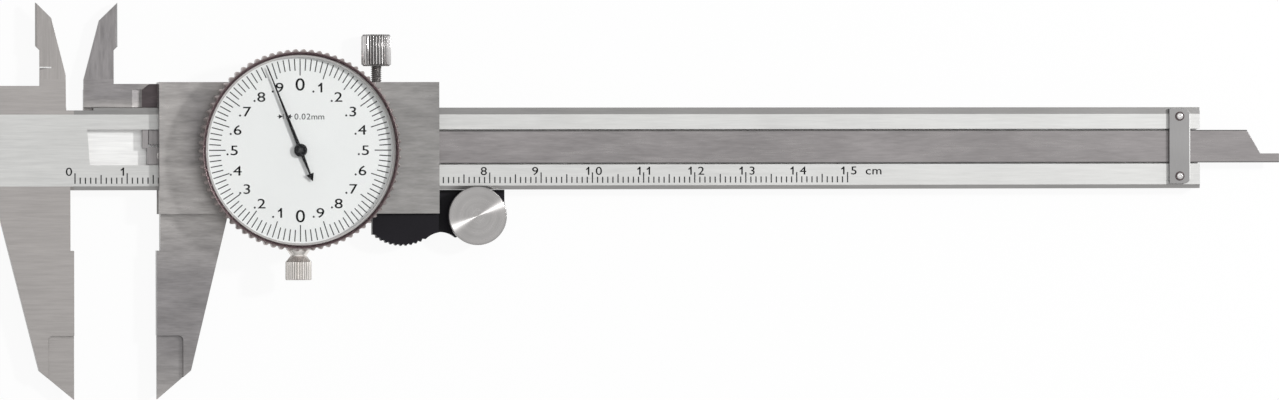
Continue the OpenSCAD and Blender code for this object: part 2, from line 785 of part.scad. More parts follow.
module slide_frame() {
    color("darkgray") on_slide() difference() {
        union() {
            block([plate_x, -slide_down, plate_z], [plate_right, slide_up, front_z]);
            block([jaw_relief, -slide_down, back_plate_t], [plate_right, rail_low, plate_z]);
            block([plate_x, rail_high, back_plate_t], [plate_right, slide_up, plate_z]);
            translate([0, 0, beam_z]) linear_extrude(beam_t) polygon([
                [0, -jaw_reach], [moving_tip_w, jaw_tip_h - jaw_reach],
                [moving_jaw_w, -slide_down], [moving_jaw_w, rail_low],
                [jaw_relief, rail_low], [jaw_relief, -face_top], [0, -face_top]
            ]);
            translate([0, 0, beam_z]) linear_extrude(beam_t / 2 - blade_gap / 2)
                polygon(blade_outline(
                    -1, moving_blade_tip, moving_blade_root, moving_blade_foot_w, arm_y, gib_x, arm_top
                ));
            block(
                [depth_bar_x, depth_bar_bottom, depth_bar_z + depth_bar_t],
                [depth_bar_x + depth_pad_l, depth_bar_top, plate_z]
            );
            block(
                [ear_x, -slide_down - ear_h, ear_z], [ear_x + ear_l, rail_low, ear_z + ear_t]
            );
        }
        knife_cuts(1);
        blade_bevel(-1, split_z - blade_gap / 2);
        // Pocket in the inside jaw's arm, with a ramp down to it
        along_y(arm_y - over, pocket_top) polygon([
            [plate_x - pocket_w - pocket_ramp, split_z],
            [plate_x - pocket_w - pocket_ramp, split_z - blade_gap / 2],
            [plate_x - pocket_w, split_z - blade_gap / 2 - pocket_d],
            [plate_x, split_z - blade_gap / 2 - pocket_d], [plate_x, split_z]
        ]);
        translate([0, 0, split_z - blade_gap / 2 - pocket_d]) linear_extrude(pocket_d + blade_gap)
            polygon([
                [plate_x - pocket_w, pocket_top - over], [plate_x - pocket_w, pocket_top],
                [plate_x - pocket_mouth, arm_top + over], [plate_x, arm_top + over],
                [plate_x, pocket_top - over]
            ]);
        post([rack_arbor_x, rack_arbor_y], plate_z - over, front_z + over, pinion_hole_r);
        for (p = back_screw_places)
            post(p, back_plate_t - over, back_screw_l + 2 * slide_gap, small_shank_r);
        for (p = case_screw_places) {
            post(p, plate_z - over, front_z + over, small_shank_r);
            post(p, plate_z - over, plate_z + small_head_h, small_head_r);
        }
        for (x = depth_screw_xs)
            post([x, depth_screw_y], depth_bar_z, front_z - slide_gap, small_shank_r);
        for (p = rest_screw_places)
            post(p, ear_z - over, rest_z + rest_screw_l, small_shank_r);
        for (x = gib_screw_xs) translate([x, rail_high - over, split_z]) rotate([-90, 0, 0])
            cylinder(h = slide_up - rail_high + 2 * over, r = gib_screw_r);
        translate([lock_x, rail_high - over, lock_z]) rotate([-90, 0, 0])
            cylinder(h = slide_up - rail_high + 2 * over, r = lock_shank_r + turn_gap);
    }
}

module back_plate() {
    color("gray") on_slide() difference() {
        union() {
            block([plate_x, -slide_down, 0], [plate_right, slide_up, back_plate_t]);
            block([tab_x, beam_top - tab_lap, 0], [plate_x + over, pocket_top, back_plate_t]);
        }
        for (p = back_screw_places) {
            post(p, -over, back_plate_t + over, small_shank_r);
            post(p, -over, small_head_h + slide_gap, small_head_r);
        }
    }
}

module back_plate_screws() {
    color("dimgray") on_slide() for (p = back_screw_places)
        translate([p.x, p.y, slide_gap]) rotate([180, 0, 0])
            small_screw(back_screw_l, small_shank_r, small_head_r, small_head_h);
}

module gib() {
    color("darkkhaki") on_slide() block(
        [gib_x, gib_y, beam_z + slide_gap],
        [plate_right - gib_inset, gib_y + gib_t, face_z - slide_gap]
    );
}

module gib_screws() {
    y0 = gib_y + gib_t;
    y1 = slide_up - gib_screw_sink;
    color("dimgray") on_slide() for (x = gib_screw_xs)
        translate([x, y1, split_z]) rotate([-90, 0, 0])
            small_screw(y1 - y0, gib_screw_r, gib_screw_r, slot_d);
}

module depth_bar() {
    tip_x = beam_reach;
    color("lightslategray") on_slide() difference() {
        translate([0, 0, depth_bar_z]) linear_extrude(depth_bar_t) polygon([
            [depth_bar_x, depth_bar_bottom],
            [tip_x, depth_bar_bottom],
            [tip_x, depth_bar_bottom + depth_tip_w],
            [tip_x - depth_tip_l, depth_bar_bottom + depth_tip_w],
            [tip_x - depth_tip_l - depth_slant_l, depth_bar_top],
            [depth_bar_x, depth_bar_top]
        ]);
        for (x = depth_screw_xs)
            post([x, depth_screw_y], depth_bar_z - over, front_z, small_shank_r);
    }
}

module depth_bar_screws() {
    z = depth_bar_z - small_head_h;
    color("dimgray") on_slide() for (x = depth_screw_xs)
        translate([x, depth_screw_y, z]) rotate([180, 0, 0])
            small_screw(front_z - slide_gap - z, small_shank_r, small_head_r, small_head_h);
}

// Serrated edge under the thumb, from left to right
function rest_outline(inset, rib_d) = concat(
    [[plate_right, -slide_down], [rest_x + rest_corner + inset, -slide_down],
    [rest_x + inset, -slide_down - rest_corner]], [
        for (i = [0:2 * rest_ribs])
        let (a = rest_arc_start + (rest_arc_end - rest_arc_start) * i / (2 * rest_ribs))
        let (r = rest_arc_r - inset - (i % 2) * rib_d)
        [rest_arc_x, rest_arc_y] + r * [cos(a), sin(a)]
    ]);

module thumb_rest() {
    right = rest_x + rest_l;
    dip_left = 180 - acos((dip_x - plate_right + dip_run) / dip_r);
    dip_edge = 90 + asin((dip_x - plate_right) / dip_r);
    tuck_high = -slide_down - over;
    tuck_low = dip_y + dip_r + over;
    color([0.13, 0.12, 0.14]) on_slide() difference() {
        union() {
            translate([0, 0, rest_z]) linear_extrude(split_z - rest_z) polygon(concat(
                rest_outline(rest_inset, 0),
                arc([dip_x, dip_y], dip_r, dip_left, dip_edge, arc_steps)
            ));
            translate([0, 0, split_z]) linear_extrude(beam_z + rest_block_t - split_z) polygon(concat(
                rest_outline(0, rest_rib_d),
                arc([dip_x, dip_y], dip_r, dip_left, dip_edge, arc_steps)
            ));
            translate([0, 0, rest_z]) linear_extrude(rest_web_t) polygon(concat(
                [[right, web_top], [plate_right, web_top], [plate_right, tuck_high],
                [plate_right - over, tuck_high], [plate_right - over, tuck_low],
                [plate_right, tuck_low]],
                arc([dip_x, dip_y], dip_r, dip_edge, dip_right, arc_steps),
                [[roller_x, roller_y - web_r / 2], [right, roller_y]]
            ));
            post([roller_x, roller_y], rest_z, rest_z + rest_web_t, web_r);
        }
        block(
            [ear_x - slide_gap, -slide_down - ear_h - slide_gap, ear_z - slide_gap],
            [ear_x + ear_l + slide_gap, -slide_down + over, ear_z + ear_t + slide_gap]
        );
        post([roller_x, roller_y], rest_z - over, rest_z + rest_web_t + over, axle_r);
        for (p = rest_screw_places) {
            post(p, rest_z - over, ear_z + over, small_shank_r);
            post(p, rest_z - over, rest_z + small_head_h + slide_gap, small_head_r);
        }
    }
}

module thumb_rest_screws() {
    color("dimgray") on_slide() for (p = rest_screw_places)
        translate([p.x, p.y, rest_z + slide_gap]) rotate([180, 0, 0])
            small_screw(rest_screw_l - slide_gap, small_shank_r, small_head_r, small_head_h);
}

module roller_axle() {
    color("gray") on_slide()
        post([roller_x, roller_y], rest_z, disc_z + axle_top_share * disc_t, axle_r);
}

module thumb_roller() {
    color("lightgray") on_slide() difference() {
        union() {
            post([roller_x, roller_y], drum_z, disc_z, drum_r);
            post([roller_x, roller_y], disc_z, disc_z + disc_t, disc_r);
        }
        post(
            [roller_x, roller_y], drum_z - over,
            disc_z + axle_top_share * disc_t + turn_gap, axle_r + turn_gap
        );
    }
}

module lock_screw() {
    color("gainsboro") on_slide() translate([lock_x, 0, lock_z]) rotate([-90, 0, 0]) {
        translate([0, 0, gib_y + gib_t + slide_gap])
            cylinder(h = slide_up + lock_shank_l - gib_y - gib_t, r = lock_shank_r);
        translate([0, 0, slide_up + lock_shank_l])
            fluted_knob(lock_head_r, lock_head_l, lock_flutes, knob_chamfer, knob_chamfer);
    }
}

module dial_case() {
    base_r = case_r + case_flange;
    centre = [dial_x, dial_y];
    color("slategray") on_slide() difference() {
        union() {
            post(centre, front_z, bezel_z - bezel_gap, base_r);
            post(centre, front_z, dial_z - bezel_gap, case_r);
        }
        post(centre, case_floor_z, dial_z + over, case_bore_r);
        post([rack_arbor_x, rack_arbor_y], front_z - over, case_floor_z + over, pinion_hole_r);
        for (p = case_screw_places)
            post(p, front_z - over, plate_z + case_screw_l, small_shank_r);
        for (p = movement_screw_places)
            post(p, movement_z - movement_screw_l, case_floor_z + over, small_shank_r);
        // Groove for the retaining ring
        translate([dial_x, dial_y, dial_z - ring_drop - ring_t]) rotate_extrude()
            translate([case_r - ring_seat, 0]) square([case_wall, ring_t]);
        // Threaded hole of the bezel clamp screw
        translate([dial_x, dial_y - case_bore_r, clamp_z]) rotate([90, 0, 0])
            cylinder(h = base_r, r = thumb_shank_r + turn_gap);
    }
}

module case_screws() {
    color("dimgray") on_slide() for (p = case_screw_places)
        translate([p.x, p.y, plate_z]) rotate([180, 0, 0])
            small_screw(case_screw_l, small_shank_r, small_head_r, small_head_h);
}

module bezel_retaining_ring() {
    color("gray") on_slide() translate([dial_x, dial_y, dial_z - ring_drop - ring_t])
        rotate_extrude() translate([case_r - ring_seat, 0]) square([ring_w, ring_t]);
}

module bezel_clamp_screw() {
    start = bezel_r + clamp_gap;
    head_start = start + clamp_flare_l + clamp_cone_l;
    thread_start = case_r + case_flange - clamp_thread_l;
    color("gainsboro") on_slide() translate([dial_x, dial_y, clamp_z]) rotate([90, 0, 0]) {
        translate([0, 0, thread_start]) cylinder(h = start - thread_start, r = thumb_shank_r);
        translate([0, 0, start])
            cylinder(h = clamp_flare_l, r1 = clamp_flare_r, r2 = clamp_neck_r);
        translate([0, 0, start + clamp_flare_l])
            cylinder(h = clamp_cone_l, r1 = clamp_neck_r, r2 = clamp_head_r - flute_d - ridge_step);
        translate([0, 0, head_start])
            fluted_knob(clamp_head_r, clamp_head_l, clamp_flutes, 0, clamp_chamfer);
    }
}

module bezel() {
    step = 360 / knurl_count;
    valley_r = bezel_r - knurl_d;
    rim_r = valley_r - ridge_step;
    centre = [dial_x, dial_y];
    color([0.66, 0.62, 0.6]) on_slide() difference() {
        union() {
            post(centre, bezel_z + ridge_step, bezel_top_z - rim_bevel, rim_r);
            translate([dial_x, dial_y, bezel_top_z - rim_bevel])
                cylinder(h = rim_bevel, r1 = rim_r, r2 = rim_r - rim_bevel);
            translate([dial_x, dial_y, bezel_z])
                linear_extrude(bezel_top_z - bezel_z - knurl_margin) polygon([
                    for (i = [0:knurl_count - 1])
                    for (p = [[0, valley_r], [knurl_shares[0], bezel_r], [knurl_shares[1], bezel_r]])
                    p[1] * [cos(step * (i + p[0])), sin(step * (i + p[0]))]
                ]);
        }
        post(centre, bezel_z - over, dial_z, case_r + turn_gap);
        post(centre, dial_z, bezel_top_z + over, window_r);
        translate([dial_x, dial_y, dial_z - ring_drop - ring_t - ring_gap]) rotate_extrude()
            translate([case_r - ring_gap, 0])
            square([ring_w - ring_seat + 2 * ring_gap, ring_t + 2 * ring_gap]);
    }
}

module seal_ring() {
    color([0.25, 0.2, 0.2]) on_slide() translate([dial_x, dial_y, seal_z])
        difference() {
            cylinder(h = seal_h, r = window_r);
            translate([0, 0, -over]) cylinder(h = seal_h + 2 * over, r = window_r - seal_w);
        }
}

module crystal() {
    color([0.9, 0.95, 0.95, 0.3]) on_slide()
        post([dial_x, dial_y], crystal_z, crystal_z + crystal_t, window_r);
}

module dial_face() {
    color("white") on_slide() difference() {
        post([dial_x, dial_y], dial_z, dial_z + dial_t, window_r);
        post([dial_x, dial_y], dial_z - over, dial_z + dial_t + over, dial_hole_r);
    }
}

module movement_plate() {
    color("goldenrod") on_slide() difference() {
        post([dial_x, dial_y], case_floor_z, movement_z, case_bore_r - movement_gap);
        for (p = arbor_places) post(p, case_floor_z - over, movement_z + over, bush_r);
        for (p = concat(movement_screw_places, pillar_places))
            post(p, case_floor_z - over, movement_z + over, fine_shank_r);
    }
}

module movement_screws() {
    color("dimgray") on_slide() for (p = movement_screw_places)
        translate([p.x, p.y, movement_z + small_head_h / 2])
            small_screw(movement_screw_l + small_head_h / 2, fine_shank_r, fine_head_r, small_head_h / 2);
}

// Bar of the bridge between two places
module bridge_bar(a, b) {
    angle = atan2(b.y - a.y, b.x - a.x);
    translate(a) rotate(angle) translate([0, -bridge_w / 2]) square([norm(b - a), bridge_w]);
    translate(a) circle(r = bridge_w / 2);
    translate(b) circle(r = bridge_w / 2);
}

module movement_bridge() {
    color("gold") on_slide() difference() {
        translate([0, 0, bridge_z]) linear_extrude(bridge_t) {
            bridge_bar(arbor_places[0], arbor_places[1]);
            bridge_bar(arbor_places[1], arbor_places[2]);
            bridge_bar(pillar_places[0], pillar_places[1]);
        }
        for (p = arbor_places) post(p, bridge_z - over, bridge_top_z + over, bush_r);
        for (p = pillar_places) post(p, bridge_z - over, bridge_top_z + over, fine_shank_r);
        post(stud_place, bridge_z - over, bridge_top_z + over, stud_r);
    }
}

module bridge_pillars() {
    color("darkgoldenrod") on_slide() for (p = pillar_places) difference() {
        post(p, movement_z, bridge_z, pillar_r);
        post(p, movement_z - over, bridge_z + over, fine_shank_r);
    }
}

module bridge_screws() {
    head_h = small_head_h / 2;
    color("dimgray") on_slide() for (p = pillar_places)
        translate([p.x, p.y, bridge_top_z + head_h])
            small_screw(bridge_top_z + head_h - case_floor_z, fine_shank_r, fine_head_r, head_h);
}

module bushes() {
    color("peru") on_slide() for (p = arbor_places) difference() {
        union() {
            post(p, case_floor_z, movement_z, bush_r);
            post(p, bridge_z, bridge_top_z, bush_r);
        }
        post(p, case_floor_z - over, bridge_top_z + over, arbor_r + turn_gap);
    }
}

module rack_pinion() {
    color("darkgoldenrod") on_slide() translate([rack_arbor_x, rack_arbor_y, 0]) {
        translate([0, 0, groove_z + rack_lift]) rotate(90 + turn)
            linear_extrude(rack_t - rack_lift) polygon(wheel_outline(rack_pinion_teeth, rack_r));
        translate([0, 0, rack_top_z]) cylinder(h = bridge_top_z - rack_top_z, r = arbor_r);
    }
}

// Toothed wheel with a bore for its arbor and four holes in its web
module wheel(place, angle) {
    translate([place.x, place.y, wheel_z]) rotate(angle) difference() {
        linear_extrude(wheel_t) polygon(wheel_outline(wheel_teeth, wheel_r));
        translate([0, 0, -over]) cylinder(h = wheel_t + 2 * over, r = arbor_r);
        for (a = [45:90:315]) rotate(a) translate([spoke_place_share * wheel_r, 0, -over])
            cylinder(h = wheel_t + 2 * over, r = spoke_hole_share * wheel_r);
    }
}

module drive_gear() {
    color("gold") on_slide() wheel(arbor_places[0], mesh_angle + turn);
}

module centre_arbor() {
    color("silver") on_slide() translate([dial_x, dial_y, 0]) {
        translate([0, 0, case_floor_z + arbor_lift])
            cylinder(h = needle_z + 2 * needle_t - case_floor_z - arbor_lift, r = arbor_r);
        translate([0, 0, wheel_z - pinion_over_share * wheel_t])
            rotate(centre_phase - wheel_ratio * turn)
            linear_extrude(wheel_t * (1 + 2 * pinion_over_share))
            polygon(wheel_outline(centre_teeth, centre_r));
    }
}

module needle() {
    angle = 90 - wheel_ratio * turn;
    tail_x = tail_w - needle_tail;
    root_y = needle_w * tail_root_share;
    color([0.08, 0.08, 0.08]) on_slide() translate([dial_x, dial_y, needle_z]) rotate(angle)
        difference() {
            union() {
                linear_extrude(needle_t) polygon([
                    [0, -needle_w / 2], [needle_l, -needle_tip_w / 2],
                    [needle_l, needle_tip_w / 2], [0, needle_w / 2],
                    [tail_x, root_y], [tail_x, tail_w / 2],
                    [-needle_tail, 0],
                    [tail_x, -tail_w / 2], [tail_x, -root_y]
                ]);
                cylinder(h = 2 * needle_t, r = hub_r);
            }
            translate([0, 0, -over]) cylinder(h = over + 3 * needle_t, r = arbor_r);
        }
}

module take_up_arbor() {
    color("silver") on_slide() {
        post(arbor_places[2], case_floor_z + arbor_lift, bridge_top_z, arbor_r);
        post(arbor_places[2], wheel_z + wheel_t, wheel_z + wheel_t + collet_h, collet_r);
    }
}

module take_up_gear() {
    color("gold") on_slide() wheel(
        arbor_places[2], take_up_angle + 180 + take_up_offset / wheel_ratio + turn
    );
}

// Points of the hairspring's spiral, moved outwards by d
function spiral(d) = [
    for (i = [0:spiral_steps * spring_turns])
    let (share = i / (spiral_steps * spring_turns))
    let (r = collet_r + turn_gap + spring_t + (spring_r - collet_r - spring_t) * share + d)
    let (a = spring_end - 360 * spring_turns * (1 - share))
    r * [cos(a), sin(a)]
];

module hairspring() {
    inner = spiral(-spring_t / 2);
    color("steelblue") on_slide() translate([take_up_x, take_up_y, spring_z])
        linear_extrude(spring_h) polygon(concat(
            spiral(spring_t / 2), [for (i = [len(inner) - 1:-1:0]) inner[i]]
        ));
}

module hairspring_stud() {
    color("silver") on_slide() post(stud_place, spring_z, bridge_top_z, stud_r);
}

beam();
rack();
rack_screws();
rack_stop();
keeper_plate();
keeper_screws();
slide_frame();
back_plate();
back_plate_screws();
gib();
gib_screws();
depth_bar();
depth_bar_screws();
thumb_rest();
thumb_rest_screws();
roller_axle();
thumb_roller();
lock_screw();
dial_case();
case_screws();
bezel_retaining_ring();
bezel_clamp_screw();
bezel();
seal_ring();
crystal();
dial_face();
movement_plate();
movement_screws();
movement_bridge();
bridge_pillars();
bridge_screws();
bushes();
rack_pinion();
drive_gear();
centre_arbor();
needle();
take_up_arbor();
take_up_gear();
hairspring();
hairspring_stud();
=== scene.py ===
"""Looks of a dial caliper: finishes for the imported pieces, dial print, scale, knurled pieces and stage."""

from functools import cache, partial, reduce
from math import cos, pi, radians, sin

import bmesh
import bpy
from bpy.props import FloatProperty, FloatVectorProperty, IntProperty, PointerProperty
from mathutils import Matrix, Vector


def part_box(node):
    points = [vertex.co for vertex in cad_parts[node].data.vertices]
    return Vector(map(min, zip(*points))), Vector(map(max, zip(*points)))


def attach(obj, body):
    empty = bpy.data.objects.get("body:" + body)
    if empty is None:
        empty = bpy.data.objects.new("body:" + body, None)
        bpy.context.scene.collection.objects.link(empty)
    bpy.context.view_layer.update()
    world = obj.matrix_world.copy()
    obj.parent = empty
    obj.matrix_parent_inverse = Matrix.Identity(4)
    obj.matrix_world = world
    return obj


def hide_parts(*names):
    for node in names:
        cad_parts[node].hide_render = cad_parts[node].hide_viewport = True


bl_info = {
    "name": "Dial Caliper Looks",
    "version": (1, 0, 0),
    "blender": (4, 5, 0),
    "location": "View3D > Sidebar > Caliper",
    "description": "Finishes, dial print, scale and knurled pieces of a dial caliper",
    "category": "Object",
}

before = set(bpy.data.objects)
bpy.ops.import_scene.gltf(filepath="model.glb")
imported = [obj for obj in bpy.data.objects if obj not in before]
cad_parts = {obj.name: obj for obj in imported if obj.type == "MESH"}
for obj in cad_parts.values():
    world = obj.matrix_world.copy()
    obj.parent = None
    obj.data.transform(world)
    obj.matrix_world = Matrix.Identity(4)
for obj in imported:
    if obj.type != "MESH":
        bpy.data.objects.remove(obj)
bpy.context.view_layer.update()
MM = 0.001


def middle(node):
    """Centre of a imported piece's box, in metres."""
    low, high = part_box(node)
    return (low + high) / 2


def top(node):
    """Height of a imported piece's upper side, in metres."""
    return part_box(node)[1].z


def half_width(node):
    """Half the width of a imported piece, in metres."""
    low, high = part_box(node)
    return (high.x - low.x) / 2


def gauge(node, axis):
    """A turned piece's radius and its two ends along an axis, in millimetres."""
    return half_width(node) / MM, *(getattr(corner, axis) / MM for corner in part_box(node))


DIAL = middle("bezel")
BEAM_LOW, BEAM_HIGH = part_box("beam")
PLATE_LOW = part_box("slide_frame")[0]
# The fixed jaw's face, which is the scale's zero, and the beam's middle
ZERO_X = BEAM_LOW.x + 14.2 * MM
BEAM_MID = 9.975 * MM


# Sizes and colours

def length(name, description, millimetres):
    """A size, given in millimetres, that the sidebar shows as a length."""
    return FloatProperty(
        name=name, description=description, default=millimetres * MM,
        min=0, precision=5, subtype="DISTANCE", unit="LENGTH",
    )


def turning(name, description, degrees):
    """An angle, given in degrees."""
    return FloatProperty(
        name=name, description=description, default=radians(degrees), subtype="ANGLE", unit="ROTATION",
    )


def amount(name, description, default, least=0):
    """A plain number."""
    return FloatProperty(name=name, description=description, default=default, min=least)


def whole(name, description, default, least=8):
    """A whole number."""
    return IntProperty(name=name, description=description, default=default, min=least)


def colour(name, description, default):
    """A plain colour, in Blender's linear values."""
    return FloatVectorProperty(
        name=name, description=description, default=default,
        size=3, min=0, max=1, subtype="COLOR",
    )


class CaliperFinishes(bpy.types.PropertyGroup):
    """Colours of the metals, plastics and prints, some of them used for painted light and shade."""

    ground: colour("Ground steel", "Jaws and the beam's head", (0.30, 0.284, 0.275))
    satin: colour("Satin face", "Matt chrome face of the beam", (0.59, 0.59, 0.578))
    # Also the colour of painted glints on the inside jaw's ramp and the keeper's edge, and of painted light
    # on the slide's side above its outside jaw
    floor: colour("Groove floor", "Bright floor of the beam's groove", (0.87, 0.87, 0.86))
    plate: colour("Slide plate", "Brushed front of the slide", (0.328, 0.313, 0.304))
    plate_end: colour("Plate's right end", "Front of the slide at its right end", (0.235, 0.228, 0.222))
    bar: colour("Depth bar", "Bar in the beam's groove", (0.205, 0.193, 0.193))
    rack: colour("Rack", "Milled rack and its stop", (0.26, 0.247, 0.247))
    turned: colour("Turned steel", "Face of the thumb roller", (0.34, 0.33, 0.325))
    screw: colour("Screw steel", "Small screws", (0.46, 0.44, 0.43))
    lock: colour("Lock screw", "Fluted lock screw", (0.66, 0.645, 0.64))
    clamp: colour("Clamp screw", "Fluted clamp screw", (0.88, 0.84, 0.80))
    # Painted light and shade: both bevels are the beam's steel, the upper one coloured darker and the lower
    # one lighter for how light falls on them
    slope: colour("Upper bevel", "Bevel along the beam's upper edge", (0.205, 0.202, 0.198))
    low_slope: colour("Lower bevel", "Bevel along the beam's lower edge", (0.34, 0.333, 0.328))
    keeper: colour("Keeper", "Keeper plate at the beam's end", (0.215, 0.211, 0.21))
    thread: colour("Thread", "Screw threads and dark grooves", (0.2, 0.19, 0.186))
    # Painted shade for the gaps beside the depth bar
    gap: colour("Gap", "Dark lines along the depth bar", (0.06, 0.058, 0.056))
    # Painted shade: the pocket's floor is coloured nearly black for the shade that falls into it
    pocket: colour("Pocket", "Floor of the pocket in the inside jaw's arm", (0.07, 0.055, 0.058))
    # Also the colour of the painted shade left of the dial
    blade: colour("Inside jaw", "Moving inside jaw", (0.205, 0.195, 0.196))
    bezel: colour("Bezel", "Knurled bezel", (0.42, 0.36, 0.35))
    # Painted shade: a dark colour on the bezel's lip and in the keeper screws' grooves
    lip: colour("Bezel lip", "Dark lip round the crystal", (0.15, 0.105, 0.11))
    nickel: colour("Nickel", "Arbors, wheels and plates of the movement", (0.55, 0.52, 0.47))
    hub: colour("Arbor", "Arbor of the needle", (0.55, 0.52, 0.47))
    case: colour("Case", "Case below the bezel", (0.40, 0.38, 0.37))
    brass: colour("Brass", "Bushes", (0.60, 0.42, 0.16))
    spring: colour("Spring steel", "Hairspring", (0.14, 0.15, 0.22))
    enamel: colour("Dial", "White of the dial", (0.9, 0.918, 0.908))
    ring: colour("Seal ring", "Pale ring under the crystal", (0.52, 0.51, 0.50))
    ink: colour("Print", "Print on the dial and the beam", (0.032, 0.033, 0.036))
    black: colour("Needle", "Painted needle", (0.003, 0.003, 0.004))
    plastic: colour("Plastic", "Black thumb rest", (0.0085, 0.0075, 0.0105))
    crystal: colour("Crystal", "Clear disc over the dial", (1.0, 1.0, 1.0))


class CaliperScale(bpy.types.PropertyGroup):
    """Graduations and numbers on the beam."""

    reach: whole("Reach", "Millimetres on the scale", 150, 10)
    start: length("First line", "Place of the zero line after the fixed jaw's face", 0.19)
    foot: length("Foot", "Distance of the lines' lower ends below the beam's middle", 6.66)
    line_w: length("Line width", "Width of a line", 0.24)
    short_line: length("Millimetre line", "Length of a millimetre line", 1.18)
    middle_line: length("Five line", "Length of a five millimetre line", 1.67)
    long_line: length("Ten line", "Length of a ten millimetre line", 2.03)
    number_h: length("Number height", "Height of the numbers", 1.56)
    number_wide: amount("Number width", "Width of the numbers against the font", 1.2, 0.5)
    bold: length("Bold", "Shift of the second print that makes the numbers bolder", 0.03)
    number_foot: length("Number foot", "Distance of the numbers below the beam's middle", 5.12)
    number_gap: length("Number gap", "Gap between a number and its line", 0.47)
    pair_gap: length("Pair gap", "Gap between a line and the digits beside it", 0.58)
    unit_gap: length("Unit place", "From the last line to the unit", 3.6)
    print_t: length("Print", "Thickness of the print", 0.012)


class CaliperDial(bpy.types.PropertyGroup):
    """Graduations and numbers on the dial."""

    divisions: whole("Divisions", "Lines round the dial", 100, 10)
    line_r: length("Line radius", "Radius of the lines' outer ends", 17.5)
    long_line: length("Long line", "Length of each fifth line", 3.2)
    short_line: length("Short line", "Length of the other lines", 2.25)
    line_w: length("Line width", "Width of a line", 0.2)
    number_r: length("Number radius", "Radius of the numbers' middles", 12.6)
    zero_h: length("Zero height", "Height of the two zeros", 2.36)
    zero_wide: amount("Zero width", "Width of the zeros against the font", 1.16, 0.5)
    number_h: length("Number height", "Height of the other numbers", 1.84)
    number_wide: amount("Number width", "Width of the numbers against the font", 1.3, 0.5)
    bold: length("Bold", "Shift of the second print that makes the numbers bolder", 0.03)
    dot_r: length("Dot radius", "Radius of the decimal dots", 0.2)
    dot_dx: length("Dot place", "From a number's middle to its dot", 1.3)
    mark_h: length("Unit height", "Height of the unit mark", 1.12)
    mark_y: length("Unit place", "Distance of the unit mark above the middle", 6.45)
    print_t: length("Print", "Thickness of the print", 0.02)


class CaliperKnurls(bpy.types.PropertyGroup):
    """Knurls, flutes and threads."""

    bezel_count: whole("Bezel knurls", "Knurls round the bezel", 78)
    bezel_depth: length("Bezel knurl depth", "Depth of the bezel's knurls", 0.55)
    lock_count: whole("Lock screw flutes", "Flutes of the lock screw", 30)
    lock_depth: length("Lock flute depth", "Depth of the lock screw's flutes", 0.3)
    clamp_count: whole("Clamp screw flutes", "Flutes of the clamp screw", 30)
    clamp_depth: length("Clamp flute depth", "Depth of the clamp screw's flutes", 0.17)
    roller_count: whole("Roller flutes", "Fine flutes on the roller's rim", 110)
    roller_depth: length("Roller flute depth", "Depth of the roller's flutes", 0.07)
    thread_pitch: length("Thread pitch", "Pitch of the lock screw's thread", 0.4)
    thread_depth: length("Thread depth", "Depth of the lock screw's thread", 0.2)


class CaliperStage(bpy.types.PropertyGroup):
    """Camera, lamps and floor."""

    eye: FloatVectorProperty(
        name="Eye", description="Place of the camera", size=3,
        default=(-0.21870, -0.00002, 1.51943), subtype="TRANSLATION", unit="LENGTH",
    )
    lean: turning("Lean", "Tilt of the view to the right", 8.161)
    roll: turning("Roll", "Turn of the picture", -0.129)
    lens: amount("Lens", "Focal length in millimetres", 222.68, 10)
    key: amount("Key lamp", "Power of the key lamp in watts", 4.6)
    sky: amount("Sky", "Strength of the soft light from all round", 0.4)
    glow: amount("Floor's glow", "Share of its own white in what is seen of the floor", 0.93)


class CaliperSettings(bpy.types.PropertyGroup):
    """All that a user would change."""

    finishes: PointerProperty(type=CaliperFinishes)
    scale: PointerProperty(type=CaliperScale)
    dial: PointerProperty(type=CaliperDial)
    knurls: PointerProperty(type=CaliperKnurls)
    stage: PointerProperty(type=CaliperStage)


def settings():
    """The caliper's settings of this scene."""
    return bpy.context.scene.caliper


# Modelling helpers

def mode(name):
    """Goes to edit or object mode."""
    bpy.ops.object.mode_set(mode=name)


def deselect():
    """Back to object mode with nothing selected."""
    active = bpy.context.object
    if active and active.mode != "OBJECT":
        mode("OBJECT")
    bpy.ops.object.select_all(action="DESELECT")


def choose(*pieces):
    """Selects pieces and nothing else; the first is the active one."""
    deselect()
    for piece in pieces:
        piece.select_set(True)
    bpy.context.view_layer.objects.active = pieces[0]


def apply():
    """Puts the selected pieces' places into their meshes."""
    bpy.ops.object.transform_apply(location=True, rotation=True, scale=True)


def at(x, y, z):
    """The matrix of a place."""
    return Matrix.Translation((x, y, z))


def edit(obj):
    """Edit mode on one object, nothing selected in it."""
    choose(obj)
    mode("EDIT")
    bpy.ops.mesh.select_all(action="DESELECT")


def pick(obj, test, faces=False):
    """Selects the vertices of the edited mesh, or the faces, whose place passes the test."""
    mesh = bmesh.from_edit_mesh(obj.data)
    for part in mesh.faces if faces else mesh.verts:
        part.select_set(bool(test(part.calc_center_median() if faces else part.co)))
    mesh.select_flush(True)
    bmesh.update_edit_mesh(obj.data)


def tidy_mesh(smooth=30):
    """Merges doubles, turns faces outwards and leaves edit mode with soft curves and crisp edges."""
    bpy.ops.mesh.select_mode(type="VERT")
    bpy.ops.mesh.select_all(action="SELECT")
    bpy.ops.mesh.remove_doubles(threshold=1e-6)
    bpy.ops.mesh.dissolve_degenerate(threshold=1e-7)
    bpy.ops.mesh.normals_make_consistent(inside=False)
    mode("OBJECT")
    if smooth:
        bpy.ops.object.shade_smooth_by_angle(angle=radians(smooth))


def slots(obj, test, smooth=35):
    """Gives the faces that pass the test the piece's second finish."""
    edit(obj)
    bpy.ops.mesh.select_mode(type="FACE")
    pick(obj, test, faces=True)
    obj.active_material_index = 1
    bpy.ops.object.material_slot_assign()
    tidy_mesh(smooth=smooth)


